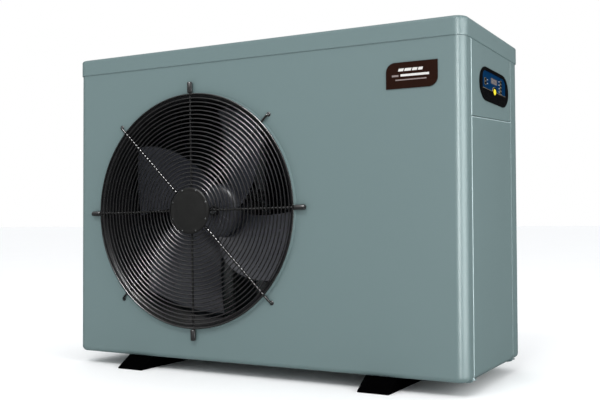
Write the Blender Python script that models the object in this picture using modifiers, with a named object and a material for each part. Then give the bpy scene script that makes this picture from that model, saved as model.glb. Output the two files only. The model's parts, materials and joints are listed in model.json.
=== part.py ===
"""Air-source heat pump unit for pool water, as an assembly of separate pieces.

Frame: +Z up, the fan guard faces -Y, the control panel is on the +X side.
The origin is at the middle of the footprint, on the ground. Lengths are in metres.
"""

import math

import bmesh
import bpy
from mathutils import Matrix, Vector

# ---- driving dimensions -------------------------------------------------
CASE_W = 0.860  # casing width, X
CASE_D = 0.344  # casing depth, Y
UNIT_H = 0.648  # ground to the top of the lid
FOOT_H = 0.025  # ground to the underside of the casing
CORNER_R = 0.020  # vertical corners of the casing
HEM_R = 0.010  # rolled lower edge of the casing
SHEET = 0.0012  # sheet-metal thickness
GAP = 0.0003  # clearance between pieces that touch
SEAM = 0.0010  # visible gap between two panels
LID_H = 0.0335  # height of the lid's skirt
LID_OVER = 0.002  # how far the lid stands proud of the casing
FOOT_REACH = 0.026  # how far a foot rail reaches in front of and behind the casing
UNION_REACH = 0.040  # how far the water unions reach behind the casing
FAN_R = 0.2120  # blade tip radius
GUARD_R = 0.2318  # outermost ring of the guard

# ---- places worked out from them ---------------------------------------
FRONT = -(CASE_D + UNION_REACH - FOOT_REACH) / 2  # casing front plane, so the box is centred
BACK = FRONT + CASE_D
SIDE = CASE_W / 2
BASE = FOOT_H
LID_LOW = UNIT_H - LID_H
WALL_TOP = LID_LOW + 0.012  # the panels end under the lid's skirt
SEAM_FRONT = FRONT + 0.038  # where the front panel's returns end
SEAM_REAR = FRONT + 0.291  # where the rear corner panel starts on the side
COVER_LOW = (BASE + 0.4555, BASE + 0.4695)  # cover's lower edge, at its front and rear ends
REAR_SPLIT = (-0.385, 0.100)  # the coil guard lies between these on the back
FAN_X = -0.1295
FAN_Y = FRONT + 0.012  # depths along the fan are measured from here
FAN_Z = BASE + 0.2965
PAN_Z = BASE + 0.0016  # underside of the base pan's floor
PAN_TOP = PAN_Z + SHEET
RAIL_X = 0.269
PLANT_X = 0.135  # plane between the fan side and the compressor side
PIPE_X = 0.345
INLET_Z = BASE + 0.095
OUTLET_Z = BASE + 0.440
PANEL_Y = FRONT + 0.176  # middle of the control panel
PANEL_Z = BASE + 0.5215
WIRE_R = 0.0026

CIRCLE = 32
UPRIGHT_X = (math.pi / 2, 0, math.pi / 2)  # a plate's XY plane becomes the YZ plane
UPRIGHT_Y = (math.pi / 2, 0, 0)  # a plate's XY plane becomes the XZ plane


# ---- scene and materials -------------------------------------------------
def clear_scene():
    for item in list(bpy.data.objects):
        bpy.data.objects.remove(item, do_unlink=True)


def new_collection(name, hidden=False):
    collection = bpy.data.collections.new(name)
    collection.hide_render = hidden
    bpy.context.scene.collection.children.link(collection)
    return collection


def material(name, colour, roughness, metallic=0.0):
    made = bpy.data.materials.new(name)
    made.use_nodes = True
    shader = made.node_tree.nodes["Principled BSDF"]
    shader.inputs["Base Color"].default_value = (*colour, 1.0)
    shader.inputs["Roughness"].default_value = roughness
    shader.inputs["Metallic"].default_value = metallic
    return made


clear_scene()
PARTS = new_collection("heat_pump_unit")
CUTTERS = new_collection("cutters", hidden=True)
PAINT = material("casing_paint", (0.19, 0.26, 0.27), 0.42)
STEEL = material("galvanised_steel", (0.55, 0.56, 0.57), 0.45, 0.9)
BLACK_STEEL = material("black_coated_steel", (0.02, 0.02, 0.022), 0.4)
BLACK_PLASTIC = material("black_plastic", (0.018, 0.018, 0.02), 0.5)
GLOSS_BLACK = material("gloss_black", (0.008, 0.008, 0.009), 0.15)
BROWN = material("plate_brown", (0.023, 0.010, 0.007), 0.3)
BLUE = material("fascia_blue", (0.004, 0.028, 0.09), 0.25)
GREY = material("window_grey", (0.16, 0.15, 0.15), 0.3)
YELLOW = material("button_yellow", (0.9, 0.72, 0.02), 0.35)
ALUMINIUM = material("aluminium", (0.72, 0.73, 0.75), 0.4, 1.0)
COPPER = material("copper", (0.72, 0.35, 0.2), 0.3, 1.0)
BRASS = material("brass", (0.72, 0.55, 0.25), 0.35, 1.0)
RUBBER = material("black_rubber", (0.012, 0.012, 0.012), 0.8)
PVC = material("grey_pvc", (0.33, 0.35, 0.36), 0.45)
BOARD = material("board_green", (0.02, 0.14, 0.06), 0.5)


# ---- making and joining shapes --------------------------------------------
def add(name, mesh, finish):
    made = bpy.data.objects.new(name, mesh)
    PARTS.objects.link(made)
    if finish:
        mesh.materials.append(finish)
    return made


def from_bmesh(name, shape, finish):
    mesh = bpy.data.meshes.new(name)
    shape.to_mesh(mesh)
    shape.free()
    return add(name, mesh, finish)


def smooth(made, angle=35):
    made.data.shade_smooth()
    made.data.set_sharp_from_angle(angle=math.radians(angle))
    return made


def bevel(made, width, segments=1, angle=40):
    edge = made.modifiers.new("edges", "BEVEL")
    edge.width = width
    edge.segments = segments
    edge.limit_method = "ANGLE"
    edge.angle_limit = math.radians(angle)
    return made


def thicken(made, thickness=SHEET, offset=-1):
    skin = made.modifiers.new("thickness", "SOLIDIFY")
    skin.thickness = thickness
    skin.offset = offset
    skin.use_even_offset = True
    return made


def box(name, low, high, finish):
    """A box between two corners."""
    shape = bmesh.new()
    size = Vector(high) - Vector(low)
    middle = (Vector(high) + Vector(low)) / 2
    place = Matrix.Translation(middle) @ Matrix.Diagonal((*size, 1))
    bmesh.ops.create_cube(shape, size=1, matrix=place)
    return from_bmesh(name, shape, finish)


def rod(name, start, end, radius, finish, sides=CIRCLE):
    """A cylinder from one point to another."""
    start, end = Vector(start), Vector(end)
    along = end - start
    turn = along.to_track_quat("Z", "Y").to_matrix().to_4x4()
    place = Matrix.Translation((start + end) / 2) @ turn
    shape = bmesh.new()
    bmesh.ops.create_cone(
        shape,
        cap_ends=True,
        segments=sides,
        radius1=radius,
        radius2=radius,
        depth=along.length,
        matrix=place,
    )
    return smooth(from_bmesh(name, shape, finish))


def turned(name, profile, place, finish, axis="Z", steps=CIRCLE, closed=False):
    """A (radius, height) profile turned about Z or Y. An open one starts and ends on the axis."""
    points = list(profile)
    ring = points + points[:1]
    area = sum(a[0] * b[1] - b[0] * a[1] for a, b in zip(ring, ring[1:]))
    if area > 0:
        points.reverse()
    shape = bmesh.new()
    made_points = [shape.verts.new((radius, 0, height)) for radius, height in points]
    pairs = zip(made_points, made_points[1:] + (made_points[:1] if closed else []))
    for first, second in pairs:
        shape.edges.new((first, second))
    made = from_bmesh(name, shape, finish)
    screw = made.modifiers.new("turn", "SCREW")
    screw.steps = screw.render_steps = steps
    screw.use_merge_vertices = True
    screw.merge_threshold = 0.00001
    screw.use_smooth_shade = True
    made.location = place
    if axis == "Y":
        made.rotation_euler.x = -math.pi / 2
    return made


def evaluated_mesh(made):
    """The object as a plain mesh object, with its modifiers applied and its caps welded."""
    bpy.context.view_layer.update()
    graph = bpy.context.evaluated_depsgraph_get()
    mesh = bpy.data.meshes.new_from_object(made.evaluated_get(graph))
    shape = bmesh.new()
    shape.from_mesh(mesh)
    bmesh.ops.remove_doubles(shape, verts=shape.verts, dist=0.00001)
    bmesh.ops.recalc_face_normals(shape, faces=shape.faces)
    shape.to_mesh(mesh)
    shape.free()
    name, place = made.name, made.matrix_world.copy()
    bpy.data.objects.remove(made, do_unlink=True)
    plain = add(name, mesh, None)
    plain.matrix_world = place
    return plain


def tube(name, points, radius, finish, roundness=2):
    """A round bar or pipe along a line of points, as a closed mesh."""
    curve = bpy.data.curves.new(name, "CURVE")
    curve.dimensions = "3D"
    curve.bevel_depth = radius
    curve.bevel_resolution = roundness
    curve.use_fill_caps = True
    line = curve.splines.new("POLY")
    line.points.add(len(points) - 1)
    for point, place in zip(line.points, points):
        point.co = (*place, 1)
    made = add(name, curve, finish)
    return smooth(evaluated_mesh(made), 50)


def plate(name, loops, thickness, place, finish, turn=(0, 0, 0)):
    """A flat sheet: an outline with holes in its own XY plane, thickened both ways."""
    curve = bpy.data.curves.new(name, "CURVE")
    curve.dimensions = "2D"
    curve.fill_mode = "BOTH"
    curve.extrude = thickness / 2
    for loop in loops:
        line = curve.splines.new("POLY")
        line.points.add(len(loop) - 1)
        line.use_cyclic_u = True
        for point, (across, up) in zip(line.points, loop):
            point.co = (across, up, 0, 1)
    made = add(name, curve, finish)
    made.location = place
    made.rotation_euler = turn
    return evaluated_mesh(made)


def boolean(made, other, operation):
    """Cuts the other shape from an object, or joins it on, and hides the other one."""
    for collection in list(other.users_collection):
        collection.objects.unlink(other)
    CUTTERS.objects.link(other)
    other.hide_render = True
    other.display_type = "WIRE"
    step = made.modifiers.new(operation.lower(), "BOOLEAN")
    step.operation = operation
    step.solver = "EXACT"
    step.object = other
    return made


def cut(made, *others):
    for other in others:
        boolean(made, other, "DIFFERENCE")
    return made


def join(made, *others):
    for other in others:
        boolean(made, other, "UNION")
    return made


# ---- outlines --------------------------------------------------------------
def arc(centre, radius, start, end, steps, radius_up=None):
    """Points of an arc, with angles in degrees. A second radius makes it part of an ellipse."""
    up = radius if radius_up is None else radius_up
    angles = [math.radians(start + (end - start) * n / steps) for n in range(steps + 1)]
    return [(centre[0] + radius * math.cos(a), centre[1] + up * math.sin(a)) for a in angles]


def rounded(width, height, radius, steps=4, middle=(0, 0)):
    """A rectangle with round corners, anticlockwise."""
    x, y = width / 2 - radius, height / 2 - radius
    corners = ((x, y, 0), (-x, y, 90), (-x, -y, 180), (x, -y, 270))
    points = []
    for across, up, start in corners:
        points += arc((middle[0] + across, middle[1] + up), radius, start, start + 90, steps)
    return points


def panel_end(width, height, across, steps=5):
    """The control panel's outline: flat top and bottom, and half-ellipse ends."""
    points = []
    for side, start in ((1, -90), (-1, 90)):
        centre = (side * (width / 2 - across), 0)
        points += arc(centre, across, start, start + 180, 2 * steps, height / 2)
    return points


def rectangle(low, high):
    return [low, (high[0], low[1]), high, (low[0], high[1])]


# ---- casing walls ------------------------------------------------------------
HEM_STEPS = 3
HEM_FLANGE = 0.008
CORNER_STEPS = 5


def corner_arc(side, back, inset, start):
    """The plan arc of one vertical corner, for a surface set in from the casing's face."""
    centre = (side * (SIDE - CORNER_R), BACK - CORNER_R if back else FRONT + CORNER_R)
    return arc(centre, CORNER_R - inset, start, start + 90, CORNER_STEPS)


def front_path(inset):
    start, end = (-SIDE + inset, SEAM_FRONT), (SIDE - inset, SEAM_FRONT)
    return [start] + corner_arc(-1, False, inset, 180) + corner_arc(1, False, inset, 270) + [end]


def service_path(inset):
    return [(SIDE - inset, SEAM_FRONT + SEAM), (SIDE - inset, SEAM_REAR - SEAM)]


def rear_path(inset):
    start, end = (SIDE - inset, SEAM_REAR), (REAR_SPLIT[1], BACK - inset)
    return [start] + corner_arc(1, True, inset, 0) + [end]


def left_path(inset):
    start, end = (REAR_SPLIT[0], BACK - inset), (-SIDE + inset, SEAM_FRONT + SEAM)
    return [start] + corner_arc(-1, True, inset, 90) + [end]


def hem_rows():
    """(inset, height) from the inward flange, round the rolled edge, to the upright wall."""
    rows = [(HEM_R + HEM_FLANGE, BASE)]
    for n in range(HEM_STEPS + 1):
        angle = math.pi / 2 * n / HEM_STEPS
        rows.append((HEM_R * (1 - math.sin(angle)), BASE + HEM_R * (1 - math.cos(angle))))
    return rows


def wall(name, path, rows, top, finish, top_end=None):
    """A sheet wall: rows of a plan path, joined by faces. Its top may slope end to end."""
    top_end = top if top_end is None else top_end
    shape = bmesh.new()
    lines = []
    for inset, height in rows:
        lines.append([shape.verts.new((x, y, height)) for x, y in path(inset)])
    straight = path(0)
    ends = len(straight) - 1
    heights = [top + (top_end - top) * n / ends for n in range(ends + 1)]
    lines.append([shape.verts.new((x, y, z)) for (x, y), z in zip(straight, heights)])
    for low, high in zip(lines, lines[1:]):
        for n in range(ends):
            shape.faces.new((low[n], low[n + 1], high[n + 1], high[n]))
    bmesh.ops.remove_doubles(shape, verts=shape.verts, dist=0.00001)
    return smooth(thicken(from_bmesh(name, shape, finish)), 50)


def closed_shell(name, width, depth, radius, rows, middle, finish, steps=CORNER_STEPS):
    """A tray or a lid: rows of a rounded rectangle, the last one filled."""
    shape = bmesh.new()
    lines = []
    for inset, height in rows:
        loop = rounded(width - 2 * inset, depth - 2 * inset, radius - inset, steps, middle)
        lines.append([shape.verts.new((x, y, height)) for x, y in loop])
    for low, high in zip(lines, lines[1:]):
        for n in range(len(low)):
            m = (n + 1) % len(low)
            shape.faces.new((low[n], low[m], high[m], high[n]))
    shape.faces.new(lines[-1])
    bmesh.ops.recalc_face_normals(shape, faces=shape.faces)
    return smooth(thicken(from_bmesh(name, shape, finish)), 50)


def front_panel():
    made = wall("front_panel", front_path, hem_rows(), WALL_TOP, PAINT)
    opening = (FAN_X, FRONT - 0.01, FAN_Z), (FAN_X, FRONT + 0.01, FAN_Z)
    cut(made, rod("fan_opening", *opening, ORIFICE_R + 4 * GAP, None, 48))


def service_panel():
    low, high = COVER_LOW
    wall("service_panel", service_path, hem_rows(), low - SEAM, PAINT, high - SEAM)


def control_cover():
    low, high = COVER_LOW
    outline = [
        (SEAM_FRONT + SEAM, low),
        (SEAM_REAR - SEAM, high),
        (SEAM_REAR - SEAM, WALL_TOP),
        (SEAM_FRONT + SEAM, WALL_TOP),
    ]
    opening = panel_end(PANEL_W - 0.012, PANEL_H - 0.012, PANEL_END - 0.006)
    opening = [(y + PANEL_Y, z + PANEL_Z) for y, z in opening]
    place = (SIDE - SHEET / 2, 0, 0)
    plate("control_cover", [outline, opening], SHEET, place, PAINT, UPRIGHT_X)


def rear_panel():
    made = wall("rear_panel", rear_path, hem_rows(), WALL_TOP, PAINT)
    for n, (x, z, radius) in enumerate(rear_holes()):
        ends = (x, BACK - 0.01, z), (x, BACK + 0.01, z)
        cut(made, rod(f"rear_hole_{n}", *ends, radius, None, 16))


def rear_holes():
    return (
        (PIPE_X, INLET_Z, PIPE_R + 4 * GAP),
        (PIPE_X, OUTLET_Z, PIPE_R + 4 * GAP),
        (GLAND_X, GLAND_Z, GLAND_R + 2 * GAP),
    )


def left_side_panel():
    made = wall("left_side_panel", left_path, hem_rows(), WALL_TOP, PAINT)
    wide, tall, pitch, rows = 0.084, 0.016, 0.040, 13
    loops = []
    for column in (0, 1):
        y = SEAM_FRONT + 0.030 + column * (wide + 0.020)
        for row in range(rows):
            z = BASE + 0.055 + row * pitch
            loops.append(rectangle((y, z), (y + wide, z + tall)))
    slots = plate("air_slots", loops, 0.010, (-SIDE, 0, 0), None, UPRIGHT_X)
    cut(made, slots)


def top_cover():
    edge = 0.005
    middle = (0, (FRONT + BACK) / 2)
    rows = [(0, LID_LOW)]
    for n in range(4):
        angle = math.pi / 2 * n / 3
        rows.append((edge * (1 - math.cos(angle)), UNIT_H - edge * (1 - math.sin(angle))))
    width, depth = CASE_W + 2 * LID_OVER, CASE_D + 2 * LID_OVER
    closed_shell("top_cover", width, depth, CORNER_R + LID_OVER, rows, middle, PAINT)


def rear_coil_guard():
    low, high = (REAR_SPLIT[0] + SEAM, BASE + 0.014), (REAR_SPLIT[1] - SEAM, LID_LOW - SEAM)
    columns, rows, bar = 6, 7, 0.0040
    step_x = (high[0] - low[0] - bar) / columns
    step_z = (high[1] - low[1] - bar) / rows
    loops = [rectangle(low, high)]
    for column in range(columns):
        for row in range(rows):
            x, z = low[0] + bar + column * step_x, low[1] + bar + row * step_z
            loops.append(rectangle((x, z), (x + step_x - bar, z + step_z - bar)))
    plate("rear_coil_guard", loops, 0.0030, (0, BACK - 0.0018, 0), BLACK_STEEL, UPRIGHT_Y)


# ---- base and feet --------------------------------------------------------------
PAN_INSET = 0.0125
STUD_R = 0.004
STUD_Y = 0.100
DRAIN = (FAN_X, 0.050)


def stud_places(side):
    middle = (FRONT + BACK) / 2
    return [(side * RAIL_X, middle + y) for y in (-STUD_Y, STUD_Y)]


def base_pan():
    edge, tall = 0.003, 0.032
    width, depth = CASE_W - 2 * PAN_INSET, CASE_D - 2 * PAN_INSET
    middle = (0, (FRONT + BACK) / 2)
    rows = [(0, PAN_Z + tall), (0, PAN_Z + edge), (edge * 0.3, PAN_Z + edge * 0.3), (edge, PAN_Z)]
    made = closed_shell("base_pan", width, depth, 0.010, rows, middle, PAINT, 3)
    for side in (-1, 1):
        low = (side * RAIL_X - 0.022, FRONT + 0.024, BASE)
        high = (side * RAIL_X + 0.022, BACK - 0.024, PAN_Z + SHEET / 2)
        join(made, box(f"pan_pad_{side}", low, high, None))
        for n, (x, y) in enumerate(stud_places(side)):
            ends = (x, y, 0), (x, y, BASE + 0.02)
            cut(made, rod(f"pan_hole_{side}_{n}", *ends, STUD_R + 2 * GAP, None, 12))
    cut(made, rod("drain_hole", (*DRAIN, 0), (*DRAIN, BASE + 0.02), 0.0088, None, 12))


def drain_nozzle():
    """Turned spigot for the condensate: a flange inside the pan, a barb below it."""
    top = PAN_TOP + GAP
    profile = [
        (0.0050, top + 0.002),
        (0.0140, top + 0.002),
        (0.0140, top),
        (0.0080, top),
        (0.0080, 0.008),
        (0.0070, 0.005),
        (0.0050, 0.005),
    ]
    turned("drain_nozzle", profile, (*DRAIN, 0), BLACK_PLASTIC, steps=12, closed=True)


def foot_rail(name, side):
    """A moulded rail from front to back, with ramped ends and pockets in its underside."""
    ramp, lip, wide, top = 0.036, 0.003, 0.060, FOOT_H - GAP
    low_y, high_y = FRONT - FOOT_REACH, BACK + FOOT_REACH
    outline = [
        (low_y, 0),
        (high_y, 0),
        (high_y, lip),
        (high_y - ramp, top),
        (low_y + ramp, top),
        (low_y, lip),
    ]
    made = plate(name, [outline], wide, (side * RAIL_X, 0, 0), RUBBER, UPRIGHT_X)
    middle, long, gap = (FRONT + BACK) / 2, 0.062, 0.012
    for n in (-1, 0, 1):
        y = middle + n * (long + gap)
        low = (side * RAIL_X - wide / 2 + 0.007, y - long / 2, -0.01)
        high = (side * RAIL_X + wide / 2 - 0.007, y + long / 2, top - 0.009)
        cut(made, box(f"{name}_pocket_{n}", low, high, None))
    for n, (x, y) in enumerate(stud_places(side)):
        hole = (x, y, 0.005), (x, y, 0.03)
        cut(made, rod(f"{name}_hole_{n}", *hole, STUD_R + 2 * GAP, None, 12))
        cut(made, rod(f"{name}_nut_{n}", (x, y, -0.01), (x, y, 0.012), 0.0085, None, 6))


def rail_fixing(name, side):
    """A strip inside the pan with two studs, each with its nut in the rail's pocket."""
    floor = PAN_TOP + GAP
    low = (side * RAIL_X - 0.009, (FRONT + BACK) / 2 - STUD_Y - 0.014, floor)
    high = (side * RAIL_X + 0.009, (FRONT + BACK) / 2 + STUD_Y + 0.014, floor + 0.003)
    made = box(name, low, high, STEEL)
    for n, (x, y) in enumerate(stud_places(side)):
        join(made, rod(f"{name}_stud_{n}", (x, y, 0.003), (x, y, floor + 0.002), STUD_R, None, 12))
        join(made, rod(f"{name}_nut_{n}", (x, y, 0.0045), (x, y, 0.011), 0.0072, None, 6))
    return made


# ---- fan, orifice and guard --------------------------------------------------------
ORIFICE_R = 0.2300
THROAT_R = 0.2185
GUARD_Y = FRONT - 0.0075  # plane of the rings
GUARD_TURN = math.radians(0.9)  # the spokes stand a little off the vertical
SPOKE_Y = GUARD_Y + WIRE_R + 0.0016
SLEEVE_R = 0.0052
HUB_R = 0.056
SHAFT_R = 0.006
SHAFT_END = 0.144
NUT_Y = FAN_Y + 0.0575
MOTOR_FRONT, MOTOR_BACK = 0.122, 0.178


def fan_orifice_ring():
    """Bell mouth: a lip in the opening, a flange behind the panel, a throat round the blades."""
    lip = 0.0002
    bell = []
    for n in range(4):
        angle = math.pi / 2 * n / 3
        radius = THROAT_R + 0.0095 * (1 - math.cos(angle))
        bell.append((radius, 0.020 * (1 - math.sin(angle)) - lip))
    behind, wall = SHEET + GAP, 0.0028
    profile = [(ORIFICE_R, -lip), (ORIFICE_R, behind), (0.243, behind), (0.243, 0.0045)]
    profile += [(THROAT_R + 0.0075, 0.0045), (THROAT_R + wall, 0.024), (THROAT_R + wall, 0.070)]
    profile += [(THROAT_R, 0.070)] + bell
    place = (FAN_X, FRONT, FAN_Z)
    turned("fan_orifice_ring", profile, place, BLACK_PLASTIC, "Y", 32, closed=True)


def guard_ring(radius, y, name):
    """One wire ring. Four sides here: it only has to be the right size."""
    half, steps = WIRE_R * 0.9, 24
    low, high = radius - half, radius + half
    square = [(low, -half), (high, -half), (high, half), (low, half)]
    made = turned(name, square, (FAN_X, y, FAN_Z), None, "Y", steps, closed=True)
    made.rotation_euler.y = math.pi / steps
    return made


def spoke_point(angle, radius, y):
    return (FAN_X + radius * math.cos(angle), y, FAN_Z + radius * math.sin(angle))


def fan_guard():
    """Concentric rings welded to eight spokes. Every other spoke ends in a thick sleeve."""
    made = evaluated_mesh(guard_ring(GUARD_R, GUARD_Y, "fan_guard"))
    made.data.materials.append(BLACK_STEEL)
    rings = 4
    inner = 0.056
    for n in range(rings):
        radius = inner + (GUARD_R - inner) * n / rings
        join(made, guard_ring(radius, GUARD_Y, f"ring_{n}"))
    for n in range(8):
        angle = n * math.pi / 4 + GUARD_TURN
        line = [spoke_point(angle, 0.030, SPOKE_Y), spoke_point(angle, 0.2525, SPOKE_Y)]
        join(made, tube(f"spoke_{n}", line, WIRE_R, None, 0))
        if n % 2 == 0:
            middle = FRONT - SLEEVE_R - GAP
            ends = [spoke_point(angle, radius, middle) for radius in (0.2345, 0.2565)]
            join(made, rod(f"sleeve_{n}", *ends, SLEEVE_R, None, 10))


def guard_hub_disc():
    """Dark disc on the middle of the guard, in front of the rings."""
    profile = [(0, -0.0045), (0.036, -0.0043), (0.0450, -0.0028), (0.0465, -0.0012)]
    profile += [(0.0465, 0), (0, 0)]
    place = (FAN_X, GUARD_Y - WIRE_R * 0.9 - GAP, FAN_Z)
    turned("guard_hub_disc", profile, place, BLACK_PLASTIC, "Y", 28)


BLADES = 4
ROOT_R = HUB_R - 0.004


def blade_point(out, back):
    """A place on a blade's middle surface.

    out runs 0 to 1 from root to tip, back runs 0 to 1 from the front edge to the rear one.
    """
    radius = ROOT_R + (FAN_R - ROOT_R) * out
    front_edge, rear_edge = 97 + 43 * out, 172 + 10 * out
    angle = math.radians(front_edge + (rear_edge - front_edge) * back)
    front_depth = 0.022 + 0.050 * (1 - out) ** 2.2
    rear_depth = 0.088 + 0.018 * (1 - out)
    camber = 0.008 * math.sin(math.pi * back)
    depth = front_depth + (rear_depth - front_depth) * back + camber
    return (radius * math.cos(angle), -radius * math.sin(angle), depth)


def fan_blade(name, turn):
    shape = bmesh.new()
    bmesh.ops.create_grid(shape, x_segments=4, y_segments=4, size=1)
    for point in shape.verts:
        point.co = blade_point((point.co.x + 1) / 2, (point.co.y + 1) / 2)
    bmesh.ops.rotate(shape, verts=shape.verts, matrix=Matrix.Rotation(turn, 3, "Z"))
    made = thicken(from_bmesh(name, shape, None), 0.0034, 0)
    made.location = (FAN_X, FAN_Y, FAN_Z)
    made.rotation_euler = (-math.pi / 2, 0, 0)
    return evaluated_mesh(made)


def fan_impeller():
    """Hub cup with its four blades. Its origin is on the fan's axis."""
    bore, wall = SHAFT_R + GAP, 0.003
    hub = [(bore, 0.066), (0.040, 0.066), (0.050, 0.070), (HUB_R, 0.080), (HUB_R, 0.112)]
    hub += [(HUB_R - wall, 0.112), (HUB_R - wall, 0.084), (0.020, 0.076)]
    hub += [(0.016, 0.108), (bore, 0.108)]
    place = (FAN_X, FAN_Y, FAN_Z)
    made = turned("fan_impeller", hub, place, BLACK_PLASTIC, "Y", 24, closed=True)
    for n in range(BLADES):
        join(made, fan_blade(f"blade_{n}", math.radians(360 / BLADES * n)))
    return made


def ride_on_axis(name, place, riders):
    """Hangs pieces on an empty on the axis that they turn about, where they already are."""
    axis = bpy.data.objects.new(name, None)
    axis.location = place
    PARTS.objects.link(axis)
    bpy.context.view_layer.update()
    for rider in riders:
        bpy.data.objects[rider].parent = axis
        bpy.data.objects[rider].matrix_parent_inverse = axis.matrix_world.inverted()


def motor_shaft():
    low, high, chamfer = 0.055, SHAFT_END, 0.001
    profile = [(0, low), (SHAFT_R - chamfer, low), (SHAFT_R, low + chamfer)]
    profile += [(SHAFT_R, high), (0, high)]
    turned("motor_shaft", profile, (FAN_X, FAN_Y, FAN_Z), STEEL, "Y", 16)


def fan_nut():
    faces = (FAN_X, NUT_Y, FAN_Z), (FAN_X, NUT_Y + 0.0082, FAN_Z)
    ends = (FAN_X, NUT_Y - 0.01, FAN_Z), (FAN_X, NUT_Y + 0.02, FAN_Z)
    made = rod("fan_nut", *faces, 0.0115, BRASS, 6)
    cut(made, rod("nut_bore", *ends, SHAFT_R + GAP, None, 16))


def fan_motor():
    """Round motor with a bearing boss in front and a bore that the shaft runs in."""
    bore = SHAFT_R + GAP
    profile = [
        (bore, MOTOR_FRONT - 0.006),
        (0.016, MOTOR_FRONT - 0.006),
        (0.018, MOTOR_FRONT),
        (0.046, MOTOR_FRONT + 0.002),
        (0.052, MOTOR_FRONT + 0.010),
        (0.052, MOTOR_BACK - 0.010),
        (0.046, MOTOR_BACK - 0.002),
        (0.020, MOTOR_BACK),
        (0, MOTOR_BACK),
        (0, SHAFT_END + 0.001),
        (bore, SHAFT_END + 0.001),
    ]
    place = (FAN_X, FAN_Y, FAN_Z)
    made = evaluated_mesh(turned("fan_motor", profile, place, ALUMINIUM, "Y", 18, closed=True))
    for n in range(4):
        angle = math.pi / 4 + n * math.pi / 2
        x, z = FAN_X + 0.056 * math.cos(angle), FAN_Z + 0.056 * math.sin(angle)
        ends = (x, FAN_Y + MOTOR_BACK - 0.014, z), (x, FAN_Y + MOTOR_BACK, z)
        join(made, rod(f"motor_lug_{n}", *ends, 0.009, None, 8))


def motor_bracket():
    """Two folded uprights with cross plates that the motor is screwed to."""
    near, far = FAN_Y + MOTOR_BACK + GAP, FAN_Y + MOTOR_BACK + 0.014
    low_z, high_z = PAN_TOP + GAP, LID_LOW - 0.004
    spread, wide = 0.042, 0.022

    def upright(name, x):
        made = box(name, (x - wide / 2, near, low_z), (x + wide / 2, far, high_z), STEEL)
        low = (x - wide / 2 + SHEET, near + SHEET, low_z - 0.01)
        high = (x + wide / 2 - SHEET, far + 0.01, high_z + 0.01)
        return cut(made, box(f"{name}_fold", low, high, None))

    made = upright("motor_bracket", FAN_X - spread)
    join(made, upright("bracket_upright", FAN_X + spread))
    for n, z in enumerate((low_z, FAN_Z - 0.085, FAN_Z - 0.011, FAN_Z + 0.063, high_z - 0.02)):
        low = (FAN_X - spread - 0.006, near, z)
        high = (FAN_X + spread + 0.006, near + 0.002, z + 0.02)
        join(made, box(f"bracket_cross_{n}", low, high, None))
    return made


# ---- heat exchangers -------------------------------------------------------------------
COIL_THICK = 0.038
COIL_LOW, COIL_HIGH = PAN_TOP + 2 * GAP, LID_LOW - 0.008
COIL_X = (-0.408, 0.092)
COIL_BACK = FRONT + 0.329


def evaporator_coil():
    """L-shaped finned block along the back and round to the left side."""
    left, right = COIL_X
    near_y, outer, inner = FRONT + 0.060, 0.060, 0.022
    turn = (left + outer, COIL_BACK - outer)
    outline = [(right, COIL_BACK - COIL_THICK), (right, COIL_BACK)]
    outline += arc(turn, outer, 90, 180, 5)
    outline += [(left, near_y), (left + COIL_THICK, near_y)]
    outline += arc(turn, inner, 180, 90, 4)
    middle = (0, 0, (COIL_LOW + COIL_HIGH) / 2)
    plate("evaporator_coil", [outline], COIL_HIGH - COIL_LOW, middle, ALUMINIUM)


def coil_header():
    """End plate of the coil, a header pipe and the bends that join its rows."""
    x = COIL_X[1] + GAP
    middle = COIL_BACK - COIL_THICK / 2
    low, high = (x, COIL_BACK - COIL_THICK, COIL_LOW), (x + 0.0015, COIL_BACK, COIL_HIGH)
    made = box("coil_header", low, high, COPPER)
    pipe = (x + 0.020, middle, 0.10), (x + 0.020, middle, 0.56)
    join(made, rod("header_pipe", *pipe, 0.0065, None, 10))
    for n in range(6):
        z = 0.13 + n * 0.08
        stub = (x + 0.0005, middle, z), (x + 0.020, middle, z)
        join(made, rod(f"header_stub_{n}", *stub, 0.004, None, 8))


def partition_panel():
    """Folded sheet between the fan side and the compressor side."""
    stepped = PLANT_X - 0.012
    path = [(PLANT_X, FRONT + 0.016), (PLANT_X, FRONT + 0.240)]
    path += [(stepped, FRONT + 0.262), (stepped, BACK - 0.0150)]
    low, high = PAN_TOP + GAP, TRAY_Z - GAP
    shape = bmesh.new()
    lower = [shape.verts.new((x, y, low)) for x, y in path]
    upper = [shape.verts.new((x, y, high)) for x, y in path]
    for n in range(len(path) - 1):
        shape.faces.new((lower[n], lower[n + 1], upper[n + 1], upper[n]))
    return thicken(from_bmesh("partition_panel", shape, STEEL), SHEET, 0)


SHELL_R = 0.066
SHELL_X, SHELL_Y = PIPE_X, FRONT + 0.245
SHELL_LOW, SHELL_HIGH = PAN_TOP + GAP, BASE + 0.360
PIPE_R = 0.025
BORE_R = 0.021
COLLAR_R = PIPE_R + 0.004
COLLAR_Y = (BACK + 0.006, BACK + 0.012)
UNION_END = BACK + UNION_REACH


def heat_exchanger_shell():
    """Upright vessel for the water, with clamped ends and a neck on top."""
    low, high, rim = SHELL_LOW, SHELL_HIGH, 0.005
    profile = [(0, low), (SHELL_R, low), (SHELL_R, low + 0.022), (SHELL_R - rim, low + 0.026)]
    profile += [(SHELL_R - rim, high - 0.030), (SHELL_R, high - 0.026), (SHELL_R, high - 0.012)]
    profile += [(SHELL_R - 0.014, high), (0.031, high + 0.004)]
    profile += [(0.031, high + 0.014), (0, high + 0.014)]
    turned("heat_exchanger_shell", profile, (SHELL_X, SHELL_Y, 0), PVC, steps=20)


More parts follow.
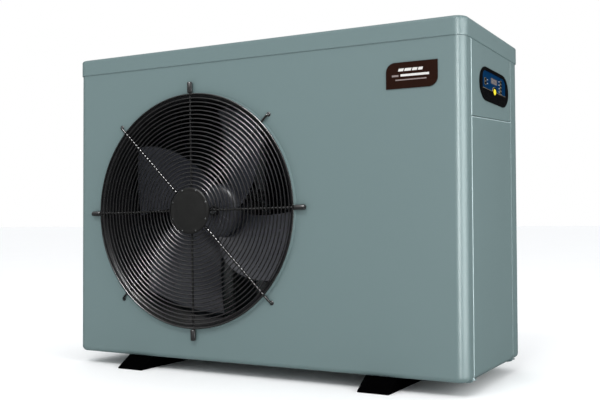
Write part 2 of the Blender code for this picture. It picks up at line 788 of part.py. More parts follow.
def water_inlet_pipe():
    """Straight stub from the vessel's foot out through the back, with a collar for the nut."""
    start, low, high = SHELL_Y + SHELL_R + 2 * GAP, *COLLAR_Y
    profile = [(PIPE_R, start), (PIPE_R, low), (COLLAR_R, low), (COLLAR_R, high)]
    profile += [(PIPE_R, high), (PIPE_R, UNION_END), (BORE_R, UNION_END)]
    profile += [(BORE_R, start + 0.006), (0, start + 0.006), (0, start)]
    turned("water_inlet_pipe", profile, (PIPE_X, 0, INLET_Z), PVC, "Y", 16, closed=True)


def outlet_route(rise=0.0, reach=0.0):
    """Up from the vessel's neck, round a bend and out through the back."""
    bend = 0.040
    start = (PIPE_X, SHELL_Y, SHELL_HIGH + 0.014 + GAP + rise)
    centre = (SHELL_Y + bend, OUTLET_Z - bend)
    points = [start] + [(PIPE_X, y, z) for y, z in arc(centre, bend, 180, 90, 5)]
    return points + [(PIPE_X, UNION_END + reach, OUTLET_Z)]


PADDLE_Z = SHELL_HIGH + 0.024
PADDLE_PIVOT = (PIPE_X, SHELL_Y - PIPE_R + 0.0005, PADDLE_Z)


def water_outlet_pipe():
    made = tube("water_outlet_pipe", outlet_route(), PIPE_R, PVC, 3)
    ends = [(PIPE_X, y, OUTLET_Z) for y in COLLAR_Y]
    join(made, rod("outlet_collar", *ends, COLLAR_R, None, 16))
    cut(made, tube("outlet_bore", outlet_route(0.004, 0.01), BORE_R, None, 3))
    hole = (PIPE_X, SHELL_Y - PIPE_R - 0.01, PADDLE_Z), (PIPE_X, SHELL_Y, PADDLE_Z)
    cut(made, rod("paddle_hole", *hole, 0.0060, None, 12))


def union_nut(name, z):
    """Ribbed nut that holds the pool pipe's tail to the stub."""
    start, end = COLLAR_Y[1] + 0.0005, UNION_END - 0.003
    outer, groove, ribs = 0.0365, 0.0340, 8
    loop = []
    for n in range(ribs):
        for step, radius in ((0, outer), (0.5, outer), (0.62, groove), (0.88, groove)):
            angle = 2 * math.pi * (n + step) / ribs
            loop.append((radius * math.cos(angle), radius * math.sin(angle)))
    hole = arc((0, 0), PIPE_R + 3 * GAP, 0, 340, 17)
    place = (PIPE_X, (start + end) / 2, z)
    plate(name, [loop, hole], end - start, place, PVC, UPRIGHT_Y)


def flow_switch_body():
    """Switch housing on a saddle against the outlet pipe."""
    near, far = SHELL_Y - PIPE_R - GAP, SHELL_Y - PIPE_R - 0.046
    half = 0.015
    low = (PIPE_X - half, far, PADDLE_Z - half)
    high = (PIPE_X + half, near - 0.008, PADDLE_Z + half)
    neck = (PIPE_X, near - 0.012, PADDLE_Z), (PIPE_X, near, PADDLE_Z)
    well = (PIPE_X, near - 0.006, PADDLE_Z), (PIPE_X, near + 0.01, PADDLE_Z)
    made = bevel(box("flow_switch_body", low, high, BLACK_PLASTIC), 0.002)
    join(made, rod("switch_neck", *neck, 0.0085, None, 12))
    cut(made, rod("switch_well", *well, 0.006, None, 12))


def flow_paddle():
    """Lever and round blade in the outlet pipe. Its origin is on its hinge."""
    x, y, z = PADDLE_PIVOT
    made = rod("flow_paddle", (x - 0.003, y, z), (x + 0.003, y, z), 0.0020, STEEL, 10)
    low, high = (x - 0.0015, y, z - 0.0010), (x + 0.0015, y + 0.014, z + 0.0010)
    join(made, box("paddle_lever", low, high, None))
    faces = (x, SHELL_Y, z - 0.0008), (x, SHELL_Y, z + 0.0008)
    join(made, rod("paddle_blade", *faces, 0.0150, None, 16))
    made = evaluated_mesh(made)
    made.data.transform(Matrix.Translation((-x, -y, -z)))
    made.location = PADDLE_PIVOT


# ---- refrigerant circuit --------------------------------------------------------------
COMP_X, COMP_Y = 0.212, FRONT + 0.118
COMP_LOW = PAN_TOP + 0.0145
COMP_TOP = BASE + 0.270
ACC_X = COMP_X + 0.098
ACC_TOP = BASE + 0.252
MOUNT_REACH = 0.0785
STUB = 0.010  # how far the discharge stub stands above the compressor


def compressor():
    """Rotary compressor can on a foot plate, with its discharge stub on top."""
    low, high, radius = COMP_LOW + 0.003, COMP_TOP, 0.057
    profile = [(0, low), (0.040, low), (radius, low + 0.014), (radius, high - 0.020)]
    profile += [(radius - 0.012, high - 0.004), (0.020, high), (0, high)]
    made = turned("compressor", profile, (COMP_X, COMP_Y, 0), BLACK_STEEL, steps=18)
    made = evaluated_mesh(made)
    foot = (COMP_X, COMP_Y, COMP_LOW), (COMP_X, COMP_Y, COMP_LOW + 0.0035)
    join(made, rod("foot_plate", *foot, 0.0680, None, 18))
    for n, (x, y) in enumerate(mount_places()):
        lobe = (x, y, COMP_LOW), (x, y, COMP_LOW + 0.003)
        join(made, rod(f"foot_lobe_{n}", *lobe, 0.0125, None, 12))
    stub = (COMP_X, COMP_Y, high - 0.01), (COMP_X, COMP_Y, high + STUB)
    join(made, rod("discharge_stub", *stub, 0.0055, None, 10))
    arm = (COMP_X + 0.045, COMP_Y, BASE + 0.060), (ACC_X - 0.033, COMP_Y, BASE + 0.060)
    join(made, rod("suction_stub", *arm, 0.006, None, 10))


def mount_places():
    return arc((COMP_X, COMP_Y), MOUNT_REACH, 0, 240, 2)


def compressor_mounts():
    low, high = PAN_TOP + GAP, COMP_LOW - GAP
    waist = (low + high) / 2
    profile = [(0, low), (0.012, low), (0.012, low + 0.003), (0.0085, waist), (0.012, high - 0.003)]
    profile += [(0.012, high), (0, high)]
    for n, place in enumerate(mount_places()):
        turned(f"compressor_mount_{n + 1}", profile, (*place, 0), RUBBER, steps=10)


def accumulator():
    low, high, radius, neck = BASE + 0.045, BASE + 0.240, 0.031, 0.010
    profile = [(0, low), (0.012, low), (radius, low + 0.018), (radius, high - 0.018)]
    profile += [(neck, high), (neck, ACC_TOP), (0, ACC_TOP)]
    turned("accumulator", profile, (ACC_X, COMP_Y, 0), BLACK_STEEL, steps=16)


def compressor_terminal_cover():
    """Cap over the compressor's electric terminals, beside the discharge stub."""
    low = (COMP_X - 0.034, COMP_Y + 0.012, COMP_TOP + GAP)
    high = (COMP_X + 0.016, COMP_Y + 0.038, COMP_TOP + 0.022)
    bevel(box("compressor_terminal_cover", low, high, BLACK_PLASTIC), 0.004, 2)


VALVE_X, VALVE_Y, VALVE_Z = 0.225, FRONT + 0.085, BASE + 0.385
PORT_HIGH, PORT_LOW = 0.030, -0.026  # ends of its ports, from its middle


def four_way_valve():
    """Reversing valve: a brass body with one port above and three below."""
    ends = (VALVE_X - 0.042, VALVE_Y, VALVE_Z), (VALVE_X + 0.042, VALVE_Y, VALVE_Z)
    made = rod("four_way_valve", *ends, 0.0135, BRASS, 16)
    ports = ((0, PORT_HIGH), (-0.022, PORT_LOW), (0, PORT_LOW), (0.022, PORT_LOW))
    for n, (x, rise) in enumerate(ports):
        port = (VALVE_X + x, VALVE_Y, VALVE_Z), (VALVE_X + x, VALVE_Y, VALVE_Z + rise)
        join(made, rod(f"valve_port_{n}", *port, 0.0055, None, 10))


def valve_solenoid():
    near = VALVE_Y - 0.0135 - GAP
    low = (VALVE_X - 0.020, near - 0.030, VALVE_Z - 0.016)
    high = (VALVE_X + 0.020, near, VALVE_Z + 0.016)
    bevel(box("valve_solenoid", low, high, BLACK_PLASTIC), 0.003)


EXPANSION = (0.185, FRONT + 0.235, BASE + 0.300)


def expansion_valve():
    """Motor-driven needle valve: body below, round coil on top."""
    profile = [(0, -0.030), (0.0055, -0.030), (0.0055, -0.014), (0.010, -0.012), (0.010, 0)]
    profile += [(0.021, 0.001), (0.021, 0.026), (0.008, 0.028), (0.008, 0.038), (0, 0.038)]
    turned("expansion_valve", profile, EXPANSION, BRASS, steps=12)


def bent(points, radius=0.018, steps=3):
    """A line of points with its inner corners rounded, as a pipe is bent."""
    points = [Vector(p) for p in points]
    line = [points[0]]
    for before, corner, after in zip(points, points[1:], points[2:]):
        start = corner + (before - corner).normalized() * radius
        end = corner + (after - corner).normalized() * radius
        for n in range(steps + 1):
            t = n / steps
            line.append(start.lerp(corner, t).lerp(corner.lerp(end, t), t))
    return line + [points[-1]]


def refrigerant_pipes():
    """Discharge, suction and liquid pipes, each ending just clear of what it is brazed to."""
    radius, bulge = 0.0055, 0.052
    low, high = COMP_TOP + STUB + GAP, VALVE_Z + PORT_HIGH + GAP
    crest = high + 0.022
    line = [(COMP_X, COMP_Y, low), (COMP_X, COMP_Y, low + 0.035)]
    line += [(COMP_X - bulge, COMP_Y, low + 0.035), (COMP_X - bulge, COMP_Y, crest)]
    line += [(VALVE_X, VALVE_Y, crest), (VALVE_X, VALVE_Y, high)]
    tube("discharge_pipe", bent(line), radius, COPPER, 1)
    low, high = ACC_TOP + GAP, VALVE_Z + PORT_LOW - GAP
    line = [(ACC_X, COMP_Y, low), (ACC_X, COMP_Y, low + bulge)]
    line += [(VALVE_X, VALVE_Y, low + bulge), (VALVE_X, VALVE_Y, high)]
    tube("suction_pipe", bent(line), radius, COPPER, 1)
    x, y, z = EXPANSION
    floor, edge = BASE + 0.070, SHELL_X - SHELL_R + 0.005 - GAP
    line = [(x, y, z - 0.030 - GAP), (x, y, floor), (edge, y, floor)]
    tube("liquid_pipe", bent(line), radius, COPPER, 1)


# ---- electrics -----------------------------------------------------------------------------
TRAY_Z = BASE + 0.505
TRAY_X = (0.056, 0.400)
TRAY_Y = (FRONT + 0.030, FRONT + 0.272)
GLAND_X, GLAND_Z, GLAND_R = 0.300, BASE + 0.545, 0.0100


def control_box():
    """Open-topped tray that rests on the partition and hangs over the fan side."""
    low = (TRAY_X[0], TRAY_Y[0], TRAY_Z)
    high = (TRAY_X[1], TRAY_Y[1], LID_LOW - 0.014)
    made = box("control_box", low, high, STEEL)
    inner_low = (low[0] + SHEET, low[1] + SHEET, low[2] + SHEET)
    inner_high = (high[0] - SHEET, high[1] - SHEET, high[2] + 0.01)
    cut(made, box("tray_hollow", inner_low, inner_high, None))


def main_circuit_board():
    """Board with its larger components: capacitors, a filter coil, relays and a heat spreader."""
    floor = TRAY_Z + SHEET + GAP
    low = (TRAY_X[0] + 0.020, TRAY_Y[0] + 0.020, floor)
    high = (TRAY_X[1] - 0.090, TRAY_Y[1] - 0.025, floor + 0.0016)
    made = box("main_circuit_board", low, high, BOARD)
    top = high[2] - 0.0006
    for n in range(3):
        x, y = low[0] + 0.040 + n * 0.040, low[1] + 0.035
        join(made, rod(f"capacitor_{n}", (x, y, top), (x, y, top + 0.045), 0.0150, None, 12))
    filter_coil = (0.030, 0.110, 0.050, 0.030, 0.030)
    relay = (0.100, 0.110, 0.030, 0.024, 0.018)
    heat_bar = (0.150, 0.080, 0.024, 0.060, 0.012)
    for n, (x, y, wide, deep, tall) in enumerate((filter_coil, relay, heat_bar)):
        start = (low[0] + x, low[1] + y, top)
        end = (start[0] + wide, start[1] + deep, top + tall)
        join(made, box(f"component_{n}", start, end, None))


def heat_sink():
    """Finned block under the tray, in the fan's air."""
    low = (TRAY_X[0] + 0.006, FRONT + 0.085, TRAY_Z - 0.040)
    high = (PLANT_X - 0.008, FRONT + 0.155, TRAY_Z - GAP)
    made = box("heat_sink", low, high, ALUMINIUM)
    fins, fin = 8, 0.0028
    pitch = (high[0] - low[0]) / fins
    for n in range(fins - 1):
        x = low[0] + pitch * (n + 0.5) + fin / 2
        start = (x, low[1] - 0.01, low[2] - 0.01)
        end = (x + pitch - fin, high[1] + 0.01, high[2] - 0.008)
        cut(made, box(f"fin_slot_{n}", start, end, None))


def terminal_block():
    """Supply terminals: a bar with wire ways between ribs."""
    floor = TRAY_Z + SHEET + GAP
    low = (TRAY_X[1] - 0.080, TRAY_Y[1] - 0.075, floor)
    high = (low[0] + 0.070, low[1] + 0.026, floor + 0.022)
    made = box("terminal_block", low, high, BLACK_PLASTIC)
    for n in range(5):
        x = low[0] + 0.004 + n * 0.0128
        start = (x, low[1] - 0.01, floor + 0.010)
        end = (x + 0.0104, high[1] + 0.01, floor + 0.03)
        cut(made, box(f"wire_way_{n}", start, end, None))


def cable_gland():
    """Gland for the supply cable, with its dome nut outside and its lock nut inside the back."""
    radius = GLAND_R
    profile = [
        (0.0050, -0.016),
        (radius, -0.016),
        (radius, -0.010),
        (0.0135, -0.010),
        (0.0135, -SHEET - GAP),
        (radius, -SHEET - GAP),
        (radius, GAP),
        (0.0140, GAP),
        (0.0140, 0.008),
        (0.0125, 0.0095),
        (0.0125, 0.019),
        (0.0095, 0.024),
        (0.0050, 0.024),
    ]
    turned("cable_gland", profile, (GLAND_X, BACK, GLAND_Z), BLACK_PLASTIC, "Y", 14, closed=True)


# ---- control panel -------------------------------------------------------------------------
PANEL_W, PANEL_H, PANEL_END = 0.186, 0.062, 0.040
BEZEL_FACE = SIDE + 0.0018
FACE_X = SIDE + 0.0002  # outer face of the blue fascia
FASCIA_LOW, FASCIA_HIGH = PANEL_Z - 0.0085, PANEL_Z + 0.0240
FASCIA_THICK = 0.0010
WELL = 0.0048  # how deep the button wells go behind the fascia
BUTTON_GAP = 0.0004
TRAVEL = 0.0010
POWER = (PANEL_Y + 0.0015, PANEL_Z - 0.0080)
POWER_SIZE = (0.0085, 0.0058)
POWER_RING = (0.0125, 0.0085)


def key_places():
    """(name, y, z) of the small keys: two at the left of the window, four at its right."""
    places = []
    for n in range(2):
        places.append((f"left_button_{n + 1}", PANEL_Y - 0.055, PANEL_Z + 0.0085 - 0.0068 * n))
    for n in range(4):
        places.append((f"right_button_{n + 1}", PANEL_Y + 0.044, PANEL_Z + 0.0155 - 0.0064 * n))
    return places


KEY_W, KEY_H = 0.0095, 0.0042


def key_loop(y, z, grow=0.0):
    return rounded(KEY_W + 2 * grow, KEY_H + 2 * grow, 0.0012, 2, (y, z))


def oval(middle, size, grow=0.0, steps=16):
    turn = 360 - 360 / steps
    return arc(middle, size[0] + grow, 0, turn, steps - 1, size[1] + grow)


def fascia_loop(grow=0.0):
    """The blue field: round upper corners, and a hump over the power button below."""
    low, high = FASCIA_LOW - grow, FASCIA_HIGH + grow
    half, round_off = 0.0750 + grow, 0.020
    wide, tall = POWER_RING[0] - grow, POWER_RING[1] - grow
    rise = math.degrees(math.asin((low - POWER[1]) / tall))
    hump = arc(POWER, wide, 180 - rise, rise, 8, tall)
    left, right = PANEL_Y - half, PANEL_Y + half
    points = [(left, low)] + hump + [(right, low)]
    points += arc((right - round_off, high - 0.012), round_off, 0, 90, 4, 0.012)
    points += arc((left + round_off, high - 0.012), round_off, 90, 180, 4, 0.012)
    return points


def window_loop(grow=0.0):
    return rounded(0.040 + 2 * grow, 0.0105 + 2 * grow, 0.001, 1, (PANEL_Y, PANEL_Z + 0.0110))


def side_plate(name, loops, low_x, high_x, finish):
    place = ((low_x + high_x) / 2, 0, 0)
    return plate(name, loops, high_x - low_x, place, finish, UPRIGHT_X)


def bezel_loop(shrink):
    loop = panel_end(PANEL_W - 2 * shrink, PANEL_H - 2 * shrink, PANEL_END - shrink)
    return [(y + PANEL_Y, z + PANEL_Z) for y, z in loop]


def display_bezel():
    """Glossy frame: a flange on the cover, a body through it, and wells for what it holds."""
    made = side_plate("display_bezel", [bezel_loop(0)], SIDE + GAP, BEZEL_FACE, GLOSS_BLACK)
    join(made, side_plate("bezel_body", [bezel_loop(0.0066)], SIDE - 0.0100, SIDE + 0.0010, None))
    floor = FACE_X - FASCIA_THICK - GAP
    cut(made, side_plate("fascia_well", [fascia_loop(GAP)], floor, SIDE + 0.01, None))
    wells = [key_loop(y, z, BUTTON_GAP) for _, y, z in key_places()]
    cut(made, side_plate("key_wells", wells, floor - WELL, floor + 0.001, None))
    power = [oval(POWER, POWER_SIZE, BUTTON_GAP)]
    cut(made, side_plate("power_well", power, floor - WELL, SIDE + 0.01, None))
    cut(made, side_plate("window_well", [window_loop(GAP)], floor - 0.0014, floor + 0.001, None))


def display_fascia():
    holes = [key_loop(y, z, BUTTON_GAP) for _, y, z in key_places()] + [window_loop(GAP)]
    side_plate("display_fascia", [fascia_loop()] + holes, FACE_X - FASCIA_THICK, FACE_X, BLUE)


def display_window():
    floor = FACE_X - FASCIA_THICK - GAP
    side_plate("display_window", [window_loop()], floor - 0.0011, FACE_X - 0.0002, GREY)


def display_board():
    low = (SIDE - 0.0120, PANEL_Y - 0.070, PANEL_Z - 0.020)
    box("display_board", low, (SIDE - 0.0104, PANEL_Y + 0.070, PANEL_Z + 0.020), BOARD)


def button(name, loop, middle, reach, finish):
    """One button, with its origin at its middle, so that it slides from there."""
    place = (sum(reach) / 2, *middle)
    plate(name, [loop], reach[1] - reach[0], place, finish, UPRIGHT_X)


def buttons():
    """Each key stands a little proud of the fascia, with room behind it for its travel."""
    low = FACE_X - FASCIA_THICK - GAP - WELL + TRAVEL + 2 * GAP
    for name, y, z in key_places():
        button(name, key_loop(0, 0), (y, z), (low, FACE_X + 0.0008), GLOSS_BLACK)
    button("power_button", oval((0, 0), POWER_SIZE), POWER, (low, BEZEL_FACE - 0.0001), YELLOW)


def nameplate():
    """Leaf-shaped plate on the front: two opposite corners sharp, two rounded."""
    wide, tall = 0.0955, 0.0460
    x, z = 0.3355, BASE + 0.5280
    left, right, low, high = x - wide / 2, x + wide / 2, z - tall / 2, z + tall / 2
    radius = 0.0165
    outline = [(left, low)]
    outline += arc((right - radius, low + radius), radius, 270, 360, 5)
    outline += [(right, high)]
    outline += arc((left + radius, high - radius), radius, 90, 180, 5)
    place = (0, FRONT - GAP - 0.0007, 0)
    plate("nameplate", [outline], 0.0014, place, BROWN, UPRIGHT_Y)


def build():
    for make in (base_pan, drain_nozzle, front_panel, service_panel, control_cover, rear_panel):
        make()
    for make in (left_side_panel, top_cover, rear_coil_guard, nameplate):
        make()
    for side, word in ((-1, "left"), (1, "right")):
        foot_rail(f"foot_rail_{word}", side)
        rail_fixing(f"rail_fixing_{word}", side)
    for make in (fan_orifice_ring, fan_guard, guard_hub_disc, fan_impeller, motor_shaft, fan_nut):
        make()
    ride_on_axis("fan_axis", (FAN_X, FAN_Y, FAN_Z), ("fan_impeller", "motor_shaft", "fan_nut"))
    for make in (fan_motor, motor_bracket, evaporator_coil, coil_header, partition_panel):
        make()
    for make in (heat_exchanger_shell, water_inlet_pipe, water_outlet_pipe):
        make()
    flow_switch_body()
    flow_paddle()
    union_nut("inlet_union_nut", INLET_Z)
    union_nut("outlet_union_nut", OUTLET_Z)
    for make in (compressor, compressor_mounts, accumulator, compressor_terminal_cover):
        make()
    for make in (four_way_valve, valve_solenoid, expansion_valve, refrigerant_pipes):
        make()
    for make in (control_box, main_circuit_board, heat_sink, terminal_block, cable_gland):
        make()
    for make in (display_bezel, display_fascia, display_window, display_board, buttons):
        make()


build()
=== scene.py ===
import json
import math

import bmesh
import bpy
from mathutils import Matrix, Vector

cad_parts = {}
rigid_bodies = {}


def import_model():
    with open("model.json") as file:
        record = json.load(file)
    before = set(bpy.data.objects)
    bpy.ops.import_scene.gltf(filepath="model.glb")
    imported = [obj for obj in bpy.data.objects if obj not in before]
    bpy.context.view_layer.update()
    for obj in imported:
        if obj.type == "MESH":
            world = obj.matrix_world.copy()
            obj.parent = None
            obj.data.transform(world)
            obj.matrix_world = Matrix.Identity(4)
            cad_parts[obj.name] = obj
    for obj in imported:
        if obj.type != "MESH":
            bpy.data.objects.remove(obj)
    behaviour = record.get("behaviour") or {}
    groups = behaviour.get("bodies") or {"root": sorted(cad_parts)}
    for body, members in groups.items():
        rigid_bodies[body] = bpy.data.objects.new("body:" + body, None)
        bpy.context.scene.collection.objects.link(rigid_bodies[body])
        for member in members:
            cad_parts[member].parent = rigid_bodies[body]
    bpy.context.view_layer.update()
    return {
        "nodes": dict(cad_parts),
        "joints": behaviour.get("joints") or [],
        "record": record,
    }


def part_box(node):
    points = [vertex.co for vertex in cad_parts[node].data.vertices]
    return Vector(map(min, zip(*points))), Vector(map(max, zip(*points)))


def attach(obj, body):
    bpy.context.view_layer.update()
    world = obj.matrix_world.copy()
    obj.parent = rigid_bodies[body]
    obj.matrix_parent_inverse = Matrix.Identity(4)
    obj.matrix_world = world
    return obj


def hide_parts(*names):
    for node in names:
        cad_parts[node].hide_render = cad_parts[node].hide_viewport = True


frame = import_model()


# ---- places, read from the frame -------------------------------------------------
def middle_of(node):
    low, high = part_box(node)
    return (low + high) / 2


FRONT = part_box("front_panel")[0].y
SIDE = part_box("front_panel")[1].x
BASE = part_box("front_panel")[0].z
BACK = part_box("rear_panel")[1].y
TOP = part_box("top_cover")[1].z
LID_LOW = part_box("top_cover")[0].z
LID_X, LID_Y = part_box("top_cover")[1].x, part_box("top_cover")[1].y
WALL_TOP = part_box("front_panel")[1].z
SEAM_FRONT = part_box("front_panel")[1].y
SEAM_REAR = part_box("rear_panel")[0].y
SEAM = 0.0010
COVER_LOW = (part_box("control_cover")[0].z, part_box("service_panel")[1].z + SEAM)
PLACES = {joint["name"]: Vector(joint["pos_m"]) for joint in frame["joints"]}
FAN = PLACES["fan_spin"]
UNIONS = [(middle_of("water_inlet_pipe").x, middle_of(f"{word}_union_nut").z) for word in ("inlet", "outlet")]
CORNER_R = 0.020
HEM_R = 0.010
SHEET = 0.0012
MERGE = 0.000001  # points nearer than this are one
OPENING_STEPS = 160
PIPE_R, PIPE_BORE = 0.025, 0.021


# ---- materials -------------------------------------------------------------------
def feed(tree, value, socket):
    """Links another socket to this one, or sets its number or colour."""
    if isinstance(value, bpy.types.NodeSocket):
        tree.links.new(value, socket)
    else:
        socket.default_value = value


def mixed(tree, low, high, factor):
    """A mix of two colours."""
    node = tree.nodes.new("ShaderNodeMix")
    node.data_type = "RGBA"
    for value, socket in ((low, 6), (high, 7), (factor, 0)):
        feed(tree, value, node.inputs[socket])
    return node.outputs[2]


def ranged(tree, value, low, high, to_low=0.0, to_high=1.0):
    node = tree.nodes.new("ShaderNodeMapRange")
    tree.links.new(value, node.inputs["Value"])
    for name, number in zip(("From Min", "From Max", "To Min", "To Max"), (low, high, to_low, to_high)):
        node.inputs[name].default_value = number
    return node.outputs["Result"]


def noise(tree, where, scale, detail=3.0):
    node = tree.nodes.new("ShaderNodeTexNoise")
    node.inputs["Scale"].default_value = scale
    node.inputs["Detail"].default_value = detail
    tree.links.new(where, node.inputs["Vector"])
    return node.outputs["Fac"]


def lighter(colour, share):
    return tuple(min(1.0, c * share) for c in colour[:3]) + (1.0,)


def worked(tree, operation, first, second=0.0):
    """A Math node's result. Each value is a socket or a number."""
    node = tree.nodes.new("ShaderNodeMath")
    node.operation = operation
    feed(tree, first, node.inputs[0])
    feed(tree, second, node.inputs[1])
    return node.outputs[0]


def add_bump(tree, height, distance, strength=1.0):
    bump = tree.nodes.new("ShaderNodeBump")
    bump.inputs["Strength"].default_value = strength
    bump.inputs["Distance"].default_value = distance
    tree.links.new(height, bump.inputs["Height"])
    tree.links.new(bump.outputs["Normal"], tree.nodes["Principled BSDF"].inputs["Normal"])


def finish(name, colour, rough, metal=0.0, mottle=0.10, mottle_scale=9.0, grain=0.05, grain_scale=700.0,
           depth=0.00012, rough_swing=0.06, dust=0.0, edge=None, shine=0.5, ior=1.5):
    """A surface with uneven colour, uneven gloss and a fine grain, with an optional painted highlight in the
    edge colour where the edge attribute is set. Scales are per metre.
    """
    made = bpy.data.materials.new(name)
    made.use_nodes = True
    tree = made.node_tree
    shader = tree.nodes["Principled BSDF"]
    shader.inputs["Metallic"].default_value = metal
    shader.inputs["Specular IOR Level"].default_value = shine
    shader.inputs["IOR"].default_value = ior
    where = tree.nodes.new("ShaderNodeTexCoord").outputs["Object"]
    broad = ranged(tree, noise(tree, where, mottle_scale), 0.3, 0.7)
    fine = noise(tree, where, grain_scale, 2.0)
    shade = mixed(tree, lighter(colour, 1 - mottle), lighter(colour, 1 + mottle), broad)
    speck = ranged(tree, fine, 0.35, 0.65)
    specks = mixed(tree, lighter(colour, 1 - 2 * grain), lighter(colour, 1 + 2 * grain), speck)
    patches = ranged(tree, noise(tree, where, mottle_scale * 7), 0.3, 0.7, 0.2, 0.6)
    shade = mixed(tree, shade, specks, patches)
    if dust:
        split = tree.nodes.new("ShaderNodeSeparateXYZ")
        tree.links.new(where, split.inputs["Vector"])
        low = ranged(tree, split.outputs["Z"], 0.0, 0.05, dust, 0.0)
        spread = worked(tree, "MULTIPLY", low, ranged(tree, noise(tree, where, 120.0), 0.35, 0.7))
        shade = mixed(tree, shade, (0.32, 0.30, 0.26, 1.0), spread)
    # painted highlight: the edge colour lightens the paint along rolled seam edges marked by the edge
    # attribute
    if edge:
        seam_highlight = tree.nodes.new("ShaderNodeAttribute")
        seam_highlight.attribute_name = "edge"
        shade = mixed(tree, shade, (*edge, 1.0), seam_highlight.outputs["Fac"])
    tree.links.new(shade, shader.inputs["Base Color"])
    gloss = noise(tree, where, mottle_scale * 3)
    gloss = ranged(tree, gloss, 0.3, 0.7, rough - rough_swing, rough + rough_swing)
    tree.links.new(gloss, shader.inputs["Roughness"])
    add_bump(tree, fine, depth, 0.6)
    return made


def fin_finish():
    """Aluminium fins seen edge on: fine upright lines, with painted shade for the dark gaps between fins."""
    pitch = 0.0019
    made = finish("coil_fins", (0.33, 0.37, 0.42), 0.38, 0.9, mottle=0.25, mottle_scale=14)
    tree = made.node_tree
    colour = tree.nodes["Principled BSDF"].inputs["Base Color"]
    split = tree.nodes.new("ShaderNodeSeparateXYZ")
    tree.links.new(tree.nodes.new("ShaderNodeTexCoord").outputs["Object"], split.inputs["Vector"])
    along = worked(tree, "ADD", split.outputs["X"], split.outputs["Y"])
    wave = worked(tree, "SINE", worked(tree, "MULTIPLY", along, 2 * math.pi / pitch))
    plain = colour.links[0].from_socket
    # painted shade: near-black lines stand for the shaded gaps between the fins
    tree.links.new(mixed(tree, (0.012, 0.016, 0.022, 1), plain, ranged(tree, wave, -0.4, 0.9)), colour)
    add_bump(tree, wave, 0.0006)
    return made


# edge is a painted highlight colour for the rolled seam edges of the casing
PAINT = finish("casing_enamel", (0.130, 0.184, 0.186), 0.33, mottle=0.010, mottle_scale=4, grain=0.010,
               grain_scale=1500, depth=0.00001, rough_swing=0.006, edge=(0.42, 0.53, 0.54), shine=0.30)
PAN_PAINT = finish("pan_enamel", (0.140, 0.198, 0.204), 0.45, mottle=0.05, mottle_scale=12, dust=0.5)
ZINC = finish("galvanised_sheet", (0.42, 0.44, 0.46), 0.42, 0.85, mottle=0.16, mottle_scale=70,
              rough_swing=0.12)
WIRE = finish("black_wire_coat", (0.008, 0.0078, 0.0078), 0.24, mottle=0.15, grain_scale=1200, depth=0.00003,
              rough_swing=0.04, ior=2.2)
SLEEVE = finish("sleeve_rubber", (0.016, 0.0155, 0.016), 0.36, mottle=0.15, mottle_scale=80, grain=0.12,
                ior=1.8)
BLADE = finish("fan_moulding", (0.042, 0.044, 0.055), 0.42, mottle=0.06, mottle_scale=12, grain=0.06,
               grain_scale=900, depth=0.00005, rough_swing=0.03)
SHELL = finish("black_moulding", (0.008, 0.008, 0.009), 0.42, mottle=0.18, mottle_scale=30, grain=0.1)
DISC = finish("hub_disc_moulding", (0.013, 0.013, 0.0125), 0.42, mottle=0.15, mottle_scale=60, grain=0.12,
              shine=0.2)
RUBBER = finish("rail_rubber", (0.0008, 0.0008, 0.0009), 0.80, mottle=0.3, mottle_scale=50, grain=0.25,
                grain_scale=450, depth=0.0002, shine=0.0, ior=1.2)
GLOSS = finish("gloss_black_moulding", (0.0022, 0.0022, 0.0025), 0.14, mottle=0.1, depth=0.00002,
               rough_swing=0.03, shine=0.05, ior=1.25)
BROWN = finish("plate_enamel", (0.0170, 0.0056, 0.0030), 0.40, mottle=0.10, mottle_scale=60, grain=0.08,
               shine=0.08)
INK = finish("plate_inlay", (0.60, 0.59, 0.57), 0.40, mottle=0.03, mottle_scale=200)
FAINT = finish("plate_inlay_grey", (0.22, 0.18, 0.17), 0.40, mottle=0.05, mottle_scale=200)
BLUE = finish("fascia_film", (0.0006, 0.0210, 0.066), 0.40, mottle=0.14, mottle_scale=60, grain=0.06,
              depth=0.00003, shine=0.02, ior=1.25)
WINDOW = finish("window_film", (0.130, 0.118, 0.124), 0.22, mottle=0.08, mottle_scale=80, depth=0.00002,
                shine=0.2)
YELLOW = finish("yellow_moulding", (0.88, 0.74, 0.02), 0.30, mottle=0.06, mottle_scale=150, depth=0.00003)
GOLD = finish("fascia_trim", (0.46, 0.34, 0.13), 0.40, 0.1, mottle=0.1, mottle_scale=200)
TICK = finish("fascia_marks", (0.62, 0.64, 0.68), 0.45, mottle=0.05, mottle_scale=300)
METAL = finish("cast_aluminium", (0.30, 0.31, 0.32), 0.45, 0.9, mottle=0.12, mottle_scale=60, grain=0.1)
COPPER = finish("copper_tube", (0.68, 0.30, 0.17), 0.32, 1.0, mottle=0.18, mottle_scale=45, rough_swing=0.1)
BRASS = finish("turned_brass", (0.66, 0.48, 0.20), 0.34, 1.0, mottle=0.12, mottle_scale=60)
PVC = finish("grey_pvc_moulding", (0.24, 0.26, 0.27), 0.42, mottle=0.05, mottle_scale=25, grain=0.04)
BOARD = finish("board_lacquer", (0.015, 0.11, 0.05), 0.42, mottle=0.25, mottle_scale=150, grain=0.2,
               grain_scale=500)
STEEL = finish("screw_steel", (0.50, 0.51, 0.52), 0.30, 1.0, mottle=0.1, mottle_scale=300, grain=0.05)
PALE = finish("pale_floor", (0.96, 0.96, 0.96), 0.85, mottle=0.01, mottle_scale=2, grain=0.01,
              grain_scale=200, depth=0.00002, rough_swing=0.02)
FINS = fin_finish()


# ---- building blocks -------------------------------------------------------------
def placed(name, data):
    """A new object in the scene."""
    made = bpy.data.objects.new(name, data)
    bpy.context.scene.collection.objects.link(made)
    return made


def meshed(name, shape):
    """A new object from a bmesh."""
    mesh = bpy.data.meshes.new(name)
    shape.to_mesh(mesh)
    shape.free()
    return placed(name, mesh)


